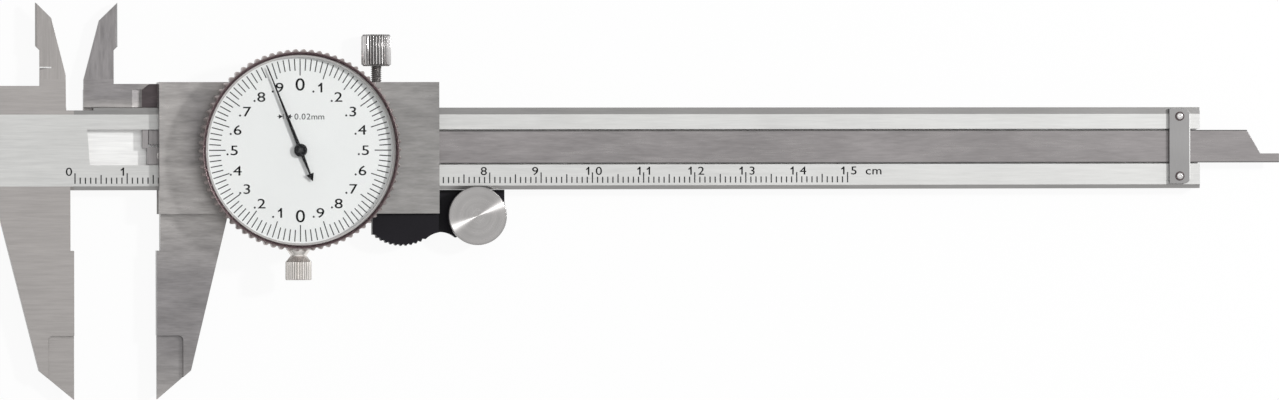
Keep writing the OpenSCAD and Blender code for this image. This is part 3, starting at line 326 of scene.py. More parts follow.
def outline(name, points, gone):
    """A closed outline of (radius, height) points, without the edges whose ends are both gone."""
    deselect()
    bpy.ops.mesh.primitive_circle_add(vertices=len(points), radius=MM)
    obj = bpy.context.object
    obj.name = obj.data.name = name
    mode("EDIT")
    mesh = bmesh.from_edit_mesh(obj.data)
    mesh.verts.ensure_lookup_table()
    for vert, (radius, height) in zip(mesh.verts, points):
        vert.co = (radius, 0, height)
    bmesh.update_edit_mesh(obj.data)
    bpy.ops.mesh.select_mode(type="EDGE")
    mesh = bmesh.from_edit_mesh(obj.data)
    for edge in mesh.edges:
        edge.select_set(all(gone(vert) for vert in edge.verts))
    opened = any(edge.select for edge in mesh.edges)
    bmesh.update_edit_mesh(obj.data)
    if opened:
        bpy.ops.mesh.delete(type="EDGE_FACE")
    return obj


def turned(name, profile, steps):
    """Spins a closed profile of (radius, height) points in millimetres round the upright axis."""
    obj = outline(name, [(r * MM, h * MM) for r, h in profile], lambda vert: vert.co.x < 1e-7)
    bpy.ops.mesh.select_mode(type="VERT")
    bpy.ops.mesh.select_all(action="SELECT")
    bpy.ops.mesh.spin(steps=steps, angle=2 * pi, center=(0, 0, 0), axis=(0, 0, 1))
    tidy_mesh(smooth=0)
    return obj


# The steps round one flute, each with its share of the full depth
KNURL = (0, 0, 0.25, 0.75, 1, 1, 0.75, 0.25)
FLUTE = (0, 0, 0.5, 1, 1, 0.5)
FINE_FLUTE = (0, 0.5, 1, 0.5)


def fluted(name, profile, count, shares, inner, depth, low=-1):
    """Turns a profile and presses flutes into its rim, outside a radius and above a height in mm."""
    steps = count * len(shares)
    obj = turned(name, profile, steps)
    edit(obj)
    for share in sorted(set(shares) - {0}):
        wanted = {i for i, value in enumerate(shares) if value == share}

        def in_flute(co):
            if co.xy.length < inner * MM or co.z < low * MM:
                return False
            step = round(Vector((co.x, co.y)).angle_signed(Vector((1, 0)), 0) / (2 * pi) * steps)
            return step % len(shares) in wanted

        pick(obj, in_flute)
        radius = max(
            (v.co.xy.length for v in bmesh.from_edit_mesh(obj.data).verts if v.select), default=0
        )
        if not radius:
            raise RuntimeError(f"{name} has no rim to flute")
        shrink = 1 - share * depth / radius
        bpy.ops.transform.resize(value=(shrink, shrink, 1), center_override=(0, 0, 0))
    mode("OBJECT")
    return obj


def place(obj, matrix):
    """Moves a finished piece by a matrix and applies it, so that its place is in its mesh."""
    choose(obj)
    obj.matrix_world = matrix
    apply()


def join(name, pieces):
    """Joins pieces into one object with its origin at the world's."""
    choose(*pieces)
    if len(pieces) > 1:
        bpy.ops.object.join()
    obj = bpy.context.object
    obj.name = obj.data.name = name
    apply()
    return obj


def stroke(width, long, thick):
    """One printed line: a plane raised to its thickness, its upper edges drawn in."""
    deselect()
    bpy.ops.mesh.primitive_plane_add(size=1, location=(0, long / 2, 0))
    obj = bpy.context.object
    obj.scale = (width, long, 1)
    apply()
    mode("EDIT")
    bpy.ops.mesh.extrude_region_move(TRANSFORM_OT_translate={"value": (0, 0, thick)})
    bpy.ops.transform.resize(value=(0.9, 0.99, 1), center_override=(0, long / 2, thick))
    tidy_mesh(smooth=0)
    return obj


def repeated(obj, matrices):
    """Copies of one piece, each with its own mesh; the first place is the piece itself."""
    copies = [obj]
    for _ in matrices[1:]:
        copy = obj.copy()
        copy.data = obj.data.copy()
        bpy.context.scene.collection.objects.link(copy)
        copies.append(copy)
    for copy, matrix in zip(copies, matrices):
        copy.matrix_world = matrix
    return copies


# Between the letters of a word, against the height of its digits
LETTER_GAP = 0.17


def text_mesh(body, size, extrude, align):
    """A word as a mesh, a thousand times too large, because the font's fill fails on small words."""
    deselect()
    bpy.ops.object.text_add(location=(0, 0, 0))
    obj = bpy.context.object
    obj.data.body = body
    obj.data.align_x = align
    obj.data.resolution_u = 4
    obj.data.size = size
    obj.data.extrude = extrude
    bpy.ops.object.convert(target="MESH")
    return bpy.context.object


@cache
def digit_share():
    """Height of the font's digits against the size of a text."""
    sample = text_mesh("0", 1, 0, "LEFT")
    share = max(vert.co.y for vert in sample.data.vertices)
    bpy.data.objects.remove(sample)
    return share


def spelled(body, height, thick, align):
    """A word letter by letter, because the font's fill also fails on some whole words."""
    letters, x = [], 0.0
    for letter in body:
        mesh = text_mesh(letter, height / MM / digit_share(), thick / MM / 2, align)
        if len(body) > 1:
            xs = [vert.co.x for vert in mesh.data.vertices]
            place(mesh, at(x - min(xs), 0, 0))
            x += max(xs) - min(xs) + LETTER_GAP * height / MM
        letters.append(mesh)
    return join("word", letters)


def one(height, wide, thick, align):
    """The digit 1 from two lines: its stem and its flag."""
    weight, flag_long, flag_top, slope = 0.14 * height, 0.4 * height, 0.99 * height, 128
    stem = stroke(weight * wide, height, thick)
    flag = stroke(weight, flag_long, thick)
    slant = at(0, flag_top, 0) @ Matrix.Rotation(radians(slope), 4, "Z")
    place(flag, Matrix.Diagonal((wide, 1, 1, 1)) @ slant @ at(-weight / 2, 0, 0))
    digit = join("one", [stem, flag])
    xs = [vert.co.x for vert in digit.data.vertices]
    shift = {"LEFT": -min(xs), "CENTER": -(min(xs) + max(xs)) / 2, "RIGHT": -max(xs)}[align]
    place(digit, at(shift, 0, -thick / 2))
    return digit


def lettering(entries, thick, high):
    """Words at their places: (word, x, baseline, digit height, width against the font, bold, alignment)."""
    words = []
    for body, x, baseline, height, wide, bold, align in entries:
        if body == "1":
            word, scale = one(height, wide, thick, align), Matrix()
        else:
            word, scale = spelled(body, height, thick, align), Matrix.Diagonal((wide * MM, MM, MM, 1))
        # A second print beside the first makes the strokes bolder
        shifts = (-bold / 2, bold / 2) if bold else (0.0,)
        matrices = [at(x + shift, baseline, high + thick / 2) @ scale for shift in shifts]
        words += repeated(word, matrices)
    return words


def dot(radius, thick, corners=14):
    """A printed dot, round unless it has few corners."""
    deselect()
    bpy.ops.mesh.primitive_circle_add(vertices=corners, radius=radius, fill_type="NGON")
    obj = bpy.context.object
    mode("EDIT")
    bpy.ops.mesh.extrude_region_move(TRANSFORM_OT_translate={"value": (0, 0, thick)})
    tidy_mesh(smooth=0)
    return obj


def dress(obj, body, slot, *finishes):
    """Gives a new piece its finishes and the body it rides on; its slot argument is not used."""
    obj.data.materials.clear()
    for name in finishes:
        obj.data.materials.append(finish(name))
    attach(obj, body)
    return obj


# Material helpers

def put(tree, node, inputs):
    """Gives a node its inputs, each a value or another node's output."""
    for key, value in inputs.items():
        if isinstance(value, bpy.types.NodeSocket):
            tree.links.new(value, node.inputs[key])
        else:
            node.inputs[key].default_value = value
    return node


def add(tree, kind, inputs=None, **values):
    """A new node with its settings and its inputs."""
    node = tree.nodes.new("ShaderNode" + kind)
    for key, value in values.items():
        setattr(node, key, value)
    return put(tree, node, inputs or {})


def home(*values):
    """The node tree that the sockets among some values belong to."""
    return next(value.id_data for value in values if isinstance(value, bpy.types.NodeSocket))


def math(operation, a, b=0.0, clamp=False):
    """One sum on values."""
    return add(home(a, b), "Math", {0: a, 1: b}, operation=operation, use_clamp=clamp).outputs[0]


def vec(operation, a, b=(0, 0, 0)):
    """One sum on vectors."""
    node = add(home(a, b), "VectorMath", {0: a, 1: b}, operation=operation)
    return node.outputs["Value" if operation in ("LENGTH", "DOT_PRODUCT") else "Vector"]


def blended(share, a, b, kind="MIX"):
    """Mixes two colours by a share."""
    node = add(home(share, a, b), "Mix", {0: share, 6: a, 7: b}, data_type="RGBA", blend_type=kind)
    return node.outputs[2]


def between(value, low, high, to_low, to_high):
    """Maps a value from one range to another."""
    inputs = {0: value, 1: low, 2: high, 3: to_low, 4: to_high}
    return add(home(value), "MapRange", inputs).outputs[0]


def varied(grey, mid, spread):
    """Spreads a noise round a value; most of a noise lies between 0.3 and 0.7."""
    return between(grey, 0.3, 0.7, mid - spread, mid + spread)


def noise(inputs, **values):
    """The grey of a noise texture."""
    inputs = {"Scale": 1.0, "Detail": 2.0, **inputs}
    return add(home(*inputs.values()), "TexNoise", inputs, **values).outputs["Fac"]


def mixed(share, a, b):
    """Mixes two shaders by a share."""
    return add(home(share), "MixShader", {0: share, 1: a.outputs[0], 2: b.outputs[0]})


def rays(tree, *kinds):
    """1 where a ray of light is of one of some kinds, else 0."""
    path = add(tree, "LightPath").outputs
    return reduce(lambda a, b: math("MAXIMUM", a, b), [path[f"Is {kind} Ray"] for kind in kinds])


def away(start, across=(1, 1, 0)):
    """The way from a centre, flattened onto the plane across an axis."""
    return vec("MULTIPLY", vec("SUBTRACT", start["Vector"], start["Centre"]), across)


def grain(start):
    """Drawn-out noise: fine lines, wider streaks and slow stains along one direction."""
    drawn = vec("MULTIPLY", start["Vector"], start["Lines"])
    return {
        "Fine": noise({"Vector": drawn, "Detail": 3.0, "Roughness": 0.6}),
        "Streak": noise({"Vector": vec("MULTIPLY", drawn, (0.35, 0.22, 0.22))}),
        "Stain": noise({"Vector": start["Vector"], "Scale": start["Stain"], "Detail": 3.0}),
    }


def rings(start):
    """Fine circles round an upright axis, as a lathe tool leaves them."""
    drawn = math("MULTIPLY", vec("LENGTH", away(start)), start["Rings"])
    return {
        name: noise({"W": math("MULTIPLY", drawn, share)}, noise_dimensions="1D")
        for name, share in (("Fine", 1.0), ("Streak", 0.15))
    }


def edges(start):
    """Edges: a mask that is bright on sharp edges, for wear and a painted glint, and the normal of an edge
    rounded a little.
    """
    tree = home(start["Width"])
    rounded = add(tree, "Bevel", {"Radius": start["Width"]}, samples=4).outputs[0]
    alike = vec("DOT_PRODUCT", rounded, add(tree, "NewGeometry").outputs["True Normal"])
    glint_and_wear_starts, glint_and_wear_full = 0.995, 0.85
    return {"Mask": between(alike, glint_and_wear_starts, glint_and_wear_full, 0.0, 1.0), "Normal": rounded}


def zone(start):
    """A box in object coordinates: 1 inside it, 0 outside, with a soft border."""
    size = vec("ABSOLUTE", vec("SUBTRACT", start["Vector"], start["Centre"]))
    axes = add(home(size), "SeparateXYZ", {0: vec("SUBTRACT", start["Half"], size)}).outputs
    least = math("MINIMUM", math("MINIMUM", axes[0], axes[1]), axes[2])
    soft = start["Soft"]
    return {"Mask": math("DIVIDE", math("ADD", least, soft), math("MULTIPLY", soft, 2.0), True)}


def rim(start):
    """Painted shade in the grooves of a fluted rim: 1 at their bottoms, 0 on the crests and further in."""
    radius = vec("LENGTH", away(start, start["Across"]))
    share = math("DIVIDE", math("SUBTRACT", start["Crest"], radius), start["Depth"])
    rising, falling = between(share, 0.1, 0.9, 0.0, 1.0), between(share, 1.1, 1.5, 1.0, 0.0)
    return {"Mask": math("MULTIPLY", rising, falling)}


def spin(start):
    """Direction away from an upright axis, for metal that was turned round it."""
    out = vec("NORMALIZE", away(start))
    kind = {"vector_type": "VECTOR", "convert_from": "OBJECT", "convert_to": "WORLD"}
    return {"Tangent": add(home(out), "VectorTransform", {0: out}, **kind).outputs[0]}


# The shared groups: what builds each, and its inputs with their defaults
PLACES = {"Vector": (0, 0, 0), "Centre": (0, 0, 0)}
SHARED = {
    "Grain": (grain, {"Vector": (0, 0, 0), "Lines": (60, 7000, 7000), "Stain": 60}),
    "Rings": (rings, {**PLACES, "Rings": 6000}),
    "Edges": (edges, {"Width": 0.1 * MM}),
    "Zone": (zone, {**PLACES, "Half": (1, 1, 1), "Soft": 0.05 * MM}),
    "Rim": (rim, {**PLACES, "Across": (1, 1, 0), "Crest": MM, "Depth": 0.1 * MM}),
    "Spin": (spin, PLACES),
}


@cache
def group(name):
    """A shared group as a node tree, built at its first use."""
    build, defaults = SHARED[name]
    tree = bpy.data.node_groups.new(name, "ShaderNodeTree")

    def socket(label, way, vector):
        kind = "NodeSocketVector" if vector else "NodeSocketFloat"
        return tree.interface.new_socket(name=label, in_out=way, socket_type=kind)

    for label, default in defaults.items():
        socket(label, "INPUT", isinstance(default, tuple)).default_value = default
    made = build(tree.nodes.new("NodeGroupInput").outputs)
    for label, value in made.items():
        socket(label, "OUTPUT", value.type == "VECTOR")
    put(tree, tree.nodes.new("NodeGroupOutput"), made)
    return tree


def use(tree, name, **inputs):
    """The outputs of one of the shared groups, placed in a material."""
    return add(tree, "Group", inputs, node_tree=group(name)).outputs


def emptied(data):
    """The node tree of a material or a world, with nothing in it."""
    data.use_nodes = True
    data.node_tree.nodes.clear()
    return data.node_tree


def new_material(name):
    """A new material, its tree, shader, output, and what places shared groups in object coordinates."""
    material = bpy.data.materials.new(name)
    tree = emptied(material)
    shader = add(tree, "BsdfPrincipled")
    output = add(tree, "OutputMaterial", {"Surface": shader.outputs[0]})
    coordinates = add(tree, "TexCoord").outputs["Object"]
    return material, tree, shader, output, partial(use, tree, Vector=coordinates)


def rgba(value, share=1.0):
    """A colour with full alpha, made lighter or darker by a share."""
    return (*(part * share for part in value), 1.0)


def coat(tree, shader, ground, tone, wear_and_glint, share, edge, bump, fine):
    """Gives a shader its toned colour, lighter by a share on its edges for wear and a painted glint, and its
    bumps.
    """
    sharp = use(tree, "Edges", Width=edge * MM)
    toned = blended(1.0, ground, tone, "MULTIPLY")
    # Sharp edges are made lighter: partly wear, partly a painted glint
    worn_and_glinting = blended(1.0, toned, (wear_and_glint, wear_and_glint, wear_and_glint, 1), "MULTIPLY")
    bumped = {"Strength": bump, "Distance": 0.02 * MM, "Height": fine, "Normal": sharp["Normal"]}
    put(tree, shader, {
        "Base Color": blended(math("MULTIPLY", sharp["Mask"], share), toned, worn_and_glinting),
        "Normal": add(tree, "Bump", bumped).outputs[0],
    })


def metal(name, base, roughness, lines, contrast, bump, wear_and_glint=1.35, edge=0.08, stain=60, zones=(),
          upright=None, circles=None, gloss=0.0, metallic=0.75, valleys=None):
    """A metal with grinding lines or turned circles, stains, edges lighter for wear and a painted glint,
    painted shade in its flutes, and zones of other colours, some of them painted light or shade.
    """
    material, tree, shader, _, here = new_material(name)
    lines = lines if isinstance(lines, tuple) else (lines, lines, lines)
    marks = here("Grain", Lines=lines, Stain=stain)
    fine, streak, slow = (marks[key] for key in ("Fine", "Streak", "Stain"))
    if upright:
        crossing = here("Grain", Lines=(lines[1], lines[0], lines[2]), Stain=stain)
        mask = here("Zone", **upright)["Mask"]
        fine = between(mask, 0.0, 1.0, fine, crossing["Fine"])
        streak = between(mask, 0.0, 1.0, streak, crossing["Streak"])
    if circles:
        centre, per_metre = circles
        lathe = here("Rings", Centre=centre, Rings=per_metre)
        fine, streak = lathe["Fine"], lathe["Streak"]
    ground, sheen = rgba(base), metallic
    for box, tint, share in zones:
        mask = here("Zone", **box)["Mask"]
        ground = blended(mask, ground, rgba(tint))
        sheen = between(mask, 0.0, 1.0, sheen, share)
    # Painted shade: the grooves of a fluted rim are coloured darker
    if valleys:
        circle, dark = valleys
        mask = here("Rim", **circle)["Mask"]
        ground = blended(mask, ground, rgba(base, dark))
    both = math("ADD", math("MULTIPLY", fine, 0.5), math("MULTIPLY", streak, 0.5))
    tone = math("MULTIPLY", varied(both, 1, contrast), varied(slow, 1, contrast / 3))
    patchy = between(slow, 0.35, 0.6, 0.4, 1.0)
    coat(tree, shader, ground, tone, wear_and_glint, patchy, edge, bump, fine)
    rough = between(both, 0.25, 0.75, roughness * 1.2, roughness * 0.8)
    rough = math("ADD", rough, varied(slow, 0, 0.03), True)
    put(tree, shader, {"Roughness": rough, "Metallic": sheen})
    if gloss:
        put(tree, shader, {"Anisotropic": gloss, "Tangent": here("Spin", Centre=centre)["Tangent"]})
    return material


def painted(name, base, roughness, grit, contrast, bump, edge, wear_and_glint, level):
    """A paint, print or plastic with fine grit and slightly lighter edges, for wear and a painted glint."""
    material, tree, shader, _, here = new_material(name)
    specks = here("Grain", Lines=(grit, grit, grit), Stain=90)
    fine, slow = specks["Fine"], specks["Stain"]
    tone = math("MULTIPLY", varied(fine, 1, contrast), varied(slow, 1, contrast))
    coat(tree, shader, rgba(base), tone, wear_and_glint, 1.0, edge, bump, fine)
    rough = varied(specks["Streak"], roughness, roughness * 0.15)
    put(tree, shader, {"Roughness": rough, "Specular IOR Level": level})
    return material


def clear_disc(name, tint):
    """Clear disc: glass to the eye, open to the lamps, so the dial below it is lit."""
    material, tree, shader, output, here = new_material(name)
    dust = here("Grain", Lines=(900, 900, 900), Stain=40)["Stain"]
    # The IOR lies far below acrylic's own 1.49, so that no mirrored sky greys the dial
    put(tree, shader, {
        "Base Color": rgba(tint), "Transmission Weight": 1.0, "IOR": 1.1,
        "Roughness": between(dust, 0.4, 0.75, 0.0, 0.03),
    })
    disc = mixed(rays(tree, "Shadow", "Diffuse"), shader, add(tree, "BsdfTransparent"))
    put(tree, output, {"Surface": disc.outputs[0]})
    return material


MATERIALS = {}
WHITE = (1, 1, 1, 1)


def finish(name):
    """A finish by its name; all are made by the finishes operator."""
    if name not in MATERIALS:
        raise RuntimeError(f"the finish {name} isn't made yet: run the finishes first")
    return MATERIALS[name]


def paint(node, material):
    """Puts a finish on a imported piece."""
    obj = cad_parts[node]
    if not obj.material_slots:
        obj.data.materials.append(material)
    for slot in obj.material_slots:
        slot.material = material


# Zones of a piece with another colour, some of them painted light or shade, in millimetres: the middle, seen
# from the place that the rows are for, half the size, the colour, how metallic it is, and the border where
# it is wide

FACE = BEAM_HIGH.z / MM
# Seen from the scale's zero at the beam's middle
BEAM_ZONES = (
    ((0, -0.275, FACE), (1000, 6.875, 0.3), "satin", 0.25),  # the face
    ((0, 0.3, 2.7), (1000, 3.6, 0.2), "floor", 0.3),  # the groove's floor
    ((120, 7.25, FACE - 0.2), (120, 0.65, 0.3), "slope", 0.75),  # the upper bevel, painted shade: darker than the beam's steel
    ((120, -7.525, FACE - 0.2), (120, 0.375, 0.3), "low_slope", 0.75),  # the lower bevel, painted light: lighter than the beam's steel
    ((-5.8, 15.62, 4), (1.5, 0.12, 3), "floor", 0.2),  # painted glint on the ramp below the inside jaw's grind
)
# Ground upwards, not along: the middle and half the size
FIXED_BLADE = (-4.4, 21, 4), (3, 7.6, 3)
# Seen from the slide's left end at the beam's middle
SLIDE_ZONES = (
    ((5.2, 19, 3), (5.8, 10, 3), "blade", 0.6, 1),  # the inside jaw and its arm
    ((12.65, 10.2, 2.45), (1.5, 2.4, 0.1), "pocket", 0.5),  # painted shade on the pocket's floor beside the arm
    ((64, 0, 7), (10, 40, 30), "plate_end", 0.5, 5),  # the right end
    ((21.6, 4, 7), (1.2, 6, 30), "blade", 0.5, 2.5),  # painted shade left of the dial, in the inside jaw's colour
    ((20, -31.5, 3), (20, 12.5, 30), "blade", 0.5, 6),  # the outside jaw's lower half
    ((13.8, -11.7, 4), (0.06, 1.6, 5), "floor", 0.1),  # painted light on the side above that jaw
)
MOVING_BLADE = (3.2, 21, 3), (3.3, 7.6, 3)
# Metals: name, roughness, grain as cycles a metre along x, y and z or in all ways, contrast, bump, and where
# they differ from the others, the lightness and the width in millimetres of the edges that are lighter for
# wear and a painted glint
METALS = {
    "ground": ("ground steel", 0.36, (300, 7000, 7000), 0.10, 0.2),
    "plate": ("brushed steel", 0.33, (400, 2600, 2600), 0.25, 0.3),
    "bar": ("drawn steel", 0.3, (330, 2600, 2600), 0.22, 0.3),
    "rack": ("milled steel", 0.4, (5000, 300, 300), 0.2, 0.3),
    "turned": ("turned steel", 0.29, (70, 7000, 7000), 0.08, 0.1),
    # Painted highlight: the keeper's edges are made far lighter than the other metals' edges
    "keeper": ("keeper steel", 0.36, (2500, 400, 400), 0.1, 0.2, 2.6, 0.14),
    "thread": ("dark thread", 0.3, 2500, 0.15, 0.1, 1.5),
    "hub": ("arbor", 0.3, (1200, 3000, 3000), 0.08, 0.12),
    "screw": ("screw steel", 0.22, 1500, 0.08, 0.1, 1.25),
    "lock": ("fluted lock screw", 0.2, 1500, 0.08, 0.1, 1.1, 0.03),
    "clamp": ("fluted clamp screw", 0.2, 1500, 0.08, 0.1, 1.1, 0.03),
    "bezel": ("knurled nickel", 0.34, 2500, 0.12, 0.2, 1.3),
    # Painted shade: the lip's dark colour stands for the shade inside the bezel's rim
    "lip": ("dark lip", 0.3, 2500, 0.15, 0.1, 1.5),
    "nickel": ("nickel plate", 0.25, (1200, 3000, 3000), 0.08, 0.12),
    "case": ("turned case", 0.3, (70, 7000, 7000), 0.1, 0.2),
    "brass": ("brass", 0.28, 1500, 0.08, 0.1),
    "spring": ("blued spring steel", 0.25, 2500, 0.1, 0.05),
}
# Paints and plastics: name, roughness, grit, contrast, bump, width and lightness of the edges that are
# lighter for wear and a painted glint, mirror
PAINTS = {
    "enamel": ("dial enamel", 0.45, 2500, 0.012, 0.03, 0.06, 1.1, 0.5),
    "ring": ("seal ring", 0.55, 3500, 0.05, 0.1, 0.06, 1.1, 0.5),
    "ink": ("print", 0.5, 9000, 0.12, 0.05, 0.01, 1.1, 0.15),
    "black": ("needle paint", 0.45, 5000, 0.1, 0.05, 0.06, 1.1, 0.15),
    "plastic": ("black plastic", 0.42, 3200, 0.12, 0.3, 0.06, 1.6, 0.12),
}
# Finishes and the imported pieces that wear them
WEARING = {
    "ground": "beam", "keeper": "keeper_plate", "hub": "centre_arbor", "bar": "depth_bar",
    "plate": "slide_frame back_plate gib", "rack": "rack rack_stop", "turned": "thumb_roller",
    "screw": "rack_screws keeper_screws back_plate_screws gib_screws depth_bar_screws "
             "thumb_rest_screws case_screws movement_screws bridge_screws roller_axle",
    "lock": "lock_screw", "clamp": "bezel_clamp_screw", "bezel": "bezel bezel_retaining_ring",
    "nickel": "movement_plate movement_bridge bridge_pillars rack_pinion drive_gear take_up_arbor "
              "take_up_gear",
    "case": "dial_case", "brass": "bushes hairspring_stud", "spring": "hairspring",
    "enamel": "dial_face", "ring": "seal_ring", "black": "needle", "plastic": "thumb_rest",
    "crystal": "crystal",
}


def box_at(x, y, centre, half, soft=0.05):
    """A zone's box in metres, from a row in millimetres and the place it is seen from."""
    return {
        "Centre": (x + centre[0] * MM, y + centre[1] * MM, centre[2] * MM),
        "Half": [part * MM for part in half], "Soft": soft * MM,
    }


def zones_at(x, y, rows):
    """Zones with their boxes, their colours and how metallic they are."""
    return [
        (box_at(x, y, centre, half, *soft), getattr(settings().finishes, tint), sheen)
        for centre, half, tint, sheen, *soft in rows
    ]


def valleys_of(node, across, depth, dark):
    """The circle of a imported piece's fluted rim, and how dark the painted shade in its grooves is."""
    return {"Centre": middle(node), "Across": across, "Crest": half_width(node), "Depth": depth}, dark


# Operators

class CaliperOperator:
    """Shared settings of the caliper's operators."""

    bl_options = {"REGISTER", "UNDO"}


class CALIPER_OT_finishes(CaliperOperator, bpy.types.Operator):
    """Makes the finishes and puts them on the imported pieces"""

    bl_idname = "caliper.finishes"
    bl_label = "Finishes"

    def execute(self, context):
        tint, knurl = settings().finishes, settings().knurls
        # Which parts of a place count for its distance from a standing and from a lying axis
        standing, lying = (1, 1, 0), (1, 0, 1)
        bar_low, bar_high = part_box("depth_bar")
        # Painted shade: dark lines on the depth bar's edges for the gaps beside it
        bar_gap_shade = zones_at(middle("depth_bar").x, 0, [
            ((0, y / MM, bar_high.z / MM), (200, 0.17, 2), "gap", 0.3) for y in (bar_low.y, bar_high.y)])
        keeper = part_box("keeper_plate")[1]
        # Painted highlight: a light strip along the keeper's right edge
        keeper_edge_glint = zones_at(keeper.x, BEAM_MID, [
            ((-0.04, 0, keeper.z / MM), (0.08, 6.6, 0.6), "floor", 0.1)])
        hub_end = zones_at(DIAL.x, DIAL.y, [
            ((0, 0, top("centre_arbor") / MM), (1.4, 1.4, 0.3), "black", 0.1)])
        slide = PLATE_LOW.x, BEAM_MID
        zero = ZERO_X, BEAM_MID
        more = {
            "ground": {"zones": zones_at(*zero, BEAM_ZONES), "upright": box_at(*zero, *FIXED_BLADE)},
            "plate": {"zones": zones_at(*slide, SLIDE_ZONES), "upright": box_at(*slide, *MOVING_BLADE),
                      "metallic": 0.5},
            "bar": {"zones": bar_gap_shade, "stain": 35},
            "turned": {"circles": (middle("thumb_roller"), 9000), "gloss": 1.0},
            "keeper": {"zones": keeper_edge_glint, "metallic": 0.6},
            "hub": {"zones": hub_end},
            # Painted shade in the flutes of the lock screw, the clamp screw and the bezel
            "lock": {"valleys": valleys_of("lock_screw", lying, knurl.lock_depth, 0.25)},
            "clamp": {"valleys": valleys_of("bezel_clamp_screw", lying, knurl.clamp_depth, 0.55)},
            "bezel": {"valleys": valleys_of("bezel", standing, knurl.bezel_depth, 0.6)},
            "case": {"circles": (DIAL, 5000)},
        }
        for key, (name, *look) in METALS.items():
            MATERIALS[key] = metal(name, getattr(tint, key), *look, **more.get(key, {}))
        for key, (name, *look) in PAINTS.items():
            MATERIALS[key] = painted(name, getattr(tint, key), *look)
        MATERIALS["crystal"] = clear_disc("crystal", tint.crystal)
        bare = set(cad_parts)
        for name, nodes in WEARING.items():
            for node in nodes.split():
                paint(node, finish(name))
                bare.remove(node)
        if bare:
            raise RuntimeError(f"no finish for {sorted(bare)}")
        return {"FINISHED"}


class CALIPER_OT_beam_scale(CaliperOperator, bpy.types.Operator):
    """Prints the graduations and numbers on the beam"""

    bl_idname = "caliper.beam_scale"
    bl_label = "Beam scale"

    def execute(self, context):
        size = settings().scale
        high = top("beam")
        zero = ZERO_X + size.start
        sorts = {"short": [], "middle": [], "long": []}
        for mark in range(size.reach + 1):
            sort = "long" if mark % 10 == 0 else "middle" if mark % 5 == 0 else "short"
            sorts[sort].append(at(zero + mark * MM, BEAM_MID - size.foot, high))
        lines = []
        for sort, matrices in sorts.items():
            line = stroke(size.line_w, getattr(size, f"{sort}_line"), size.print_t)
            lines += repeated(line, matrices)
        dress(join("beam_lines", lines), "beam", "satin_steel", "ink")
        words = []
        look = (BEAM_MID - size.number_foot, size.number_h, size.number_wide, size.bold)
        for number in range(size.reach // 10 + 1):
            x = zero + number * 10 * MM
            if number < 10:
                gap = size.pair_gap if number == 1 else size.number_gap
                words.append((str(number), x - gap, *look, "RIGHT"))
            else:
                tens, ones = str(number)
                words.append((tens, x - size.pair_gap, *look, "RIGHT"))
                words.append((ones, x + size.pair_gap, *look, "LEFT"))
        words.append(("cm", zero + size.reach * MM + size.unit_gap, *look, "LEFT"))
        numbers = join("beam_numbers", lettering(words, size.print_t, high))
        dress(numbers, "beam", "satin_steel", "ink")
        return {"FINISHED"}


class CALIPER_OT_dial_print(CaliperOperator, bpy.types.Operator):
    """Prints the lines, numbers and unit mark on the dial"""

    bl_idname = "caliper.dial_print"
    bl_label = "Dial print"

    def execute(self, context):
        size = settings().dial
        high = top("dial_face")
        centre = at(DIAL.x, DIAL.y, high)
        lines = []
        for fifth, long in ((True, size.long_line), (False, size.short_line)):
            matrices = [
                centre @ Matrix.Rotation(-2 * pi * mark / size.divisions, 4, "Z")
                @ at(0, size.line_r - long, 0)
                for mark in range(size.divisions) if (mark % 5 == 0) == fifth
            ]
            lines += repeated(stroke(size.line_w, long, size.print_t), matrices)
        dress(join("dial_lines", lines), "bezel", "dial_enamel", "ink")
        words, dots = [], []
        # A dot reaches a little below its number
        dot_rise = 0.8 * size.dot_r
        for number in range(20):
            angle = 2 * pi * number / 20
            digit = number % 10
            height, wide = (size.number_h, size.number_wide) if digit else (size.zero_h, size.zero_wide)
            # A number with a dot before it stands a little further left
            shift = 0.05 * MM if digit else 0
            x = DIAL.x + size.number_r * sin(angle) - shift
            y = DIAL.y + size.number_r * cos(angle) - height / 2
            words.append((str(digit), x, y, height, wide, size.bold, "CENTER"))
            if digit:
                dots.append(at(x - size.dot_dx, y + dot_rise, high))
        y = DIAL.y + size.mark_y
        mark_left, wide, bold = 1.1 * MM, 1.06, 0
        words.append(("0.02mm", DIAL.x - mark_left, y - size.mark_h / 2, size.mark_h, wide, bold, "LEFT"))
        pieces = lettering(words, size.print_t, high) + repeated(dot(size.dot_r, size.print_t), dots)
        dress(join("dial_numbers", pieces), "bezel", "dial_enamel", "ink")
        # Two arrows that point at two bars, each with its tail
        arrow_r, bar_w, bar_long, tail_w, tail_long = (part * MM for part in (0.5, 0.13, 0.95, 0.12, 0.4))
        left, right = -pi / 2, pi / 2
        shapes = [(dot(arrow_r, size.print_t, 3), x, 0, turn)
                  for x, turn in ((-3.85, left), (-2.05, right))]
        shapes += [(stroke(bar_w, bar_long, size.print_t), x, bar_long / 2, 0) for x in (-3.27, -2.62)]
        shapes += [(stroke(tail_w, tail_long, size.print_t), x, 0, left) for x in (-4.4, -1.9)]
        for shape, x, drop, turn in shapes:
            spot = at(DIAL.x + x * MM, y - drop, high)
            place(shape, spot @ Matrix.Rotation(turn, 4, "Z"))
        dress(join("unit_mark", [shape[0] for shape in shapes]), "bezel", "dial_enamel", "ink")
        return {"FINISHED"}


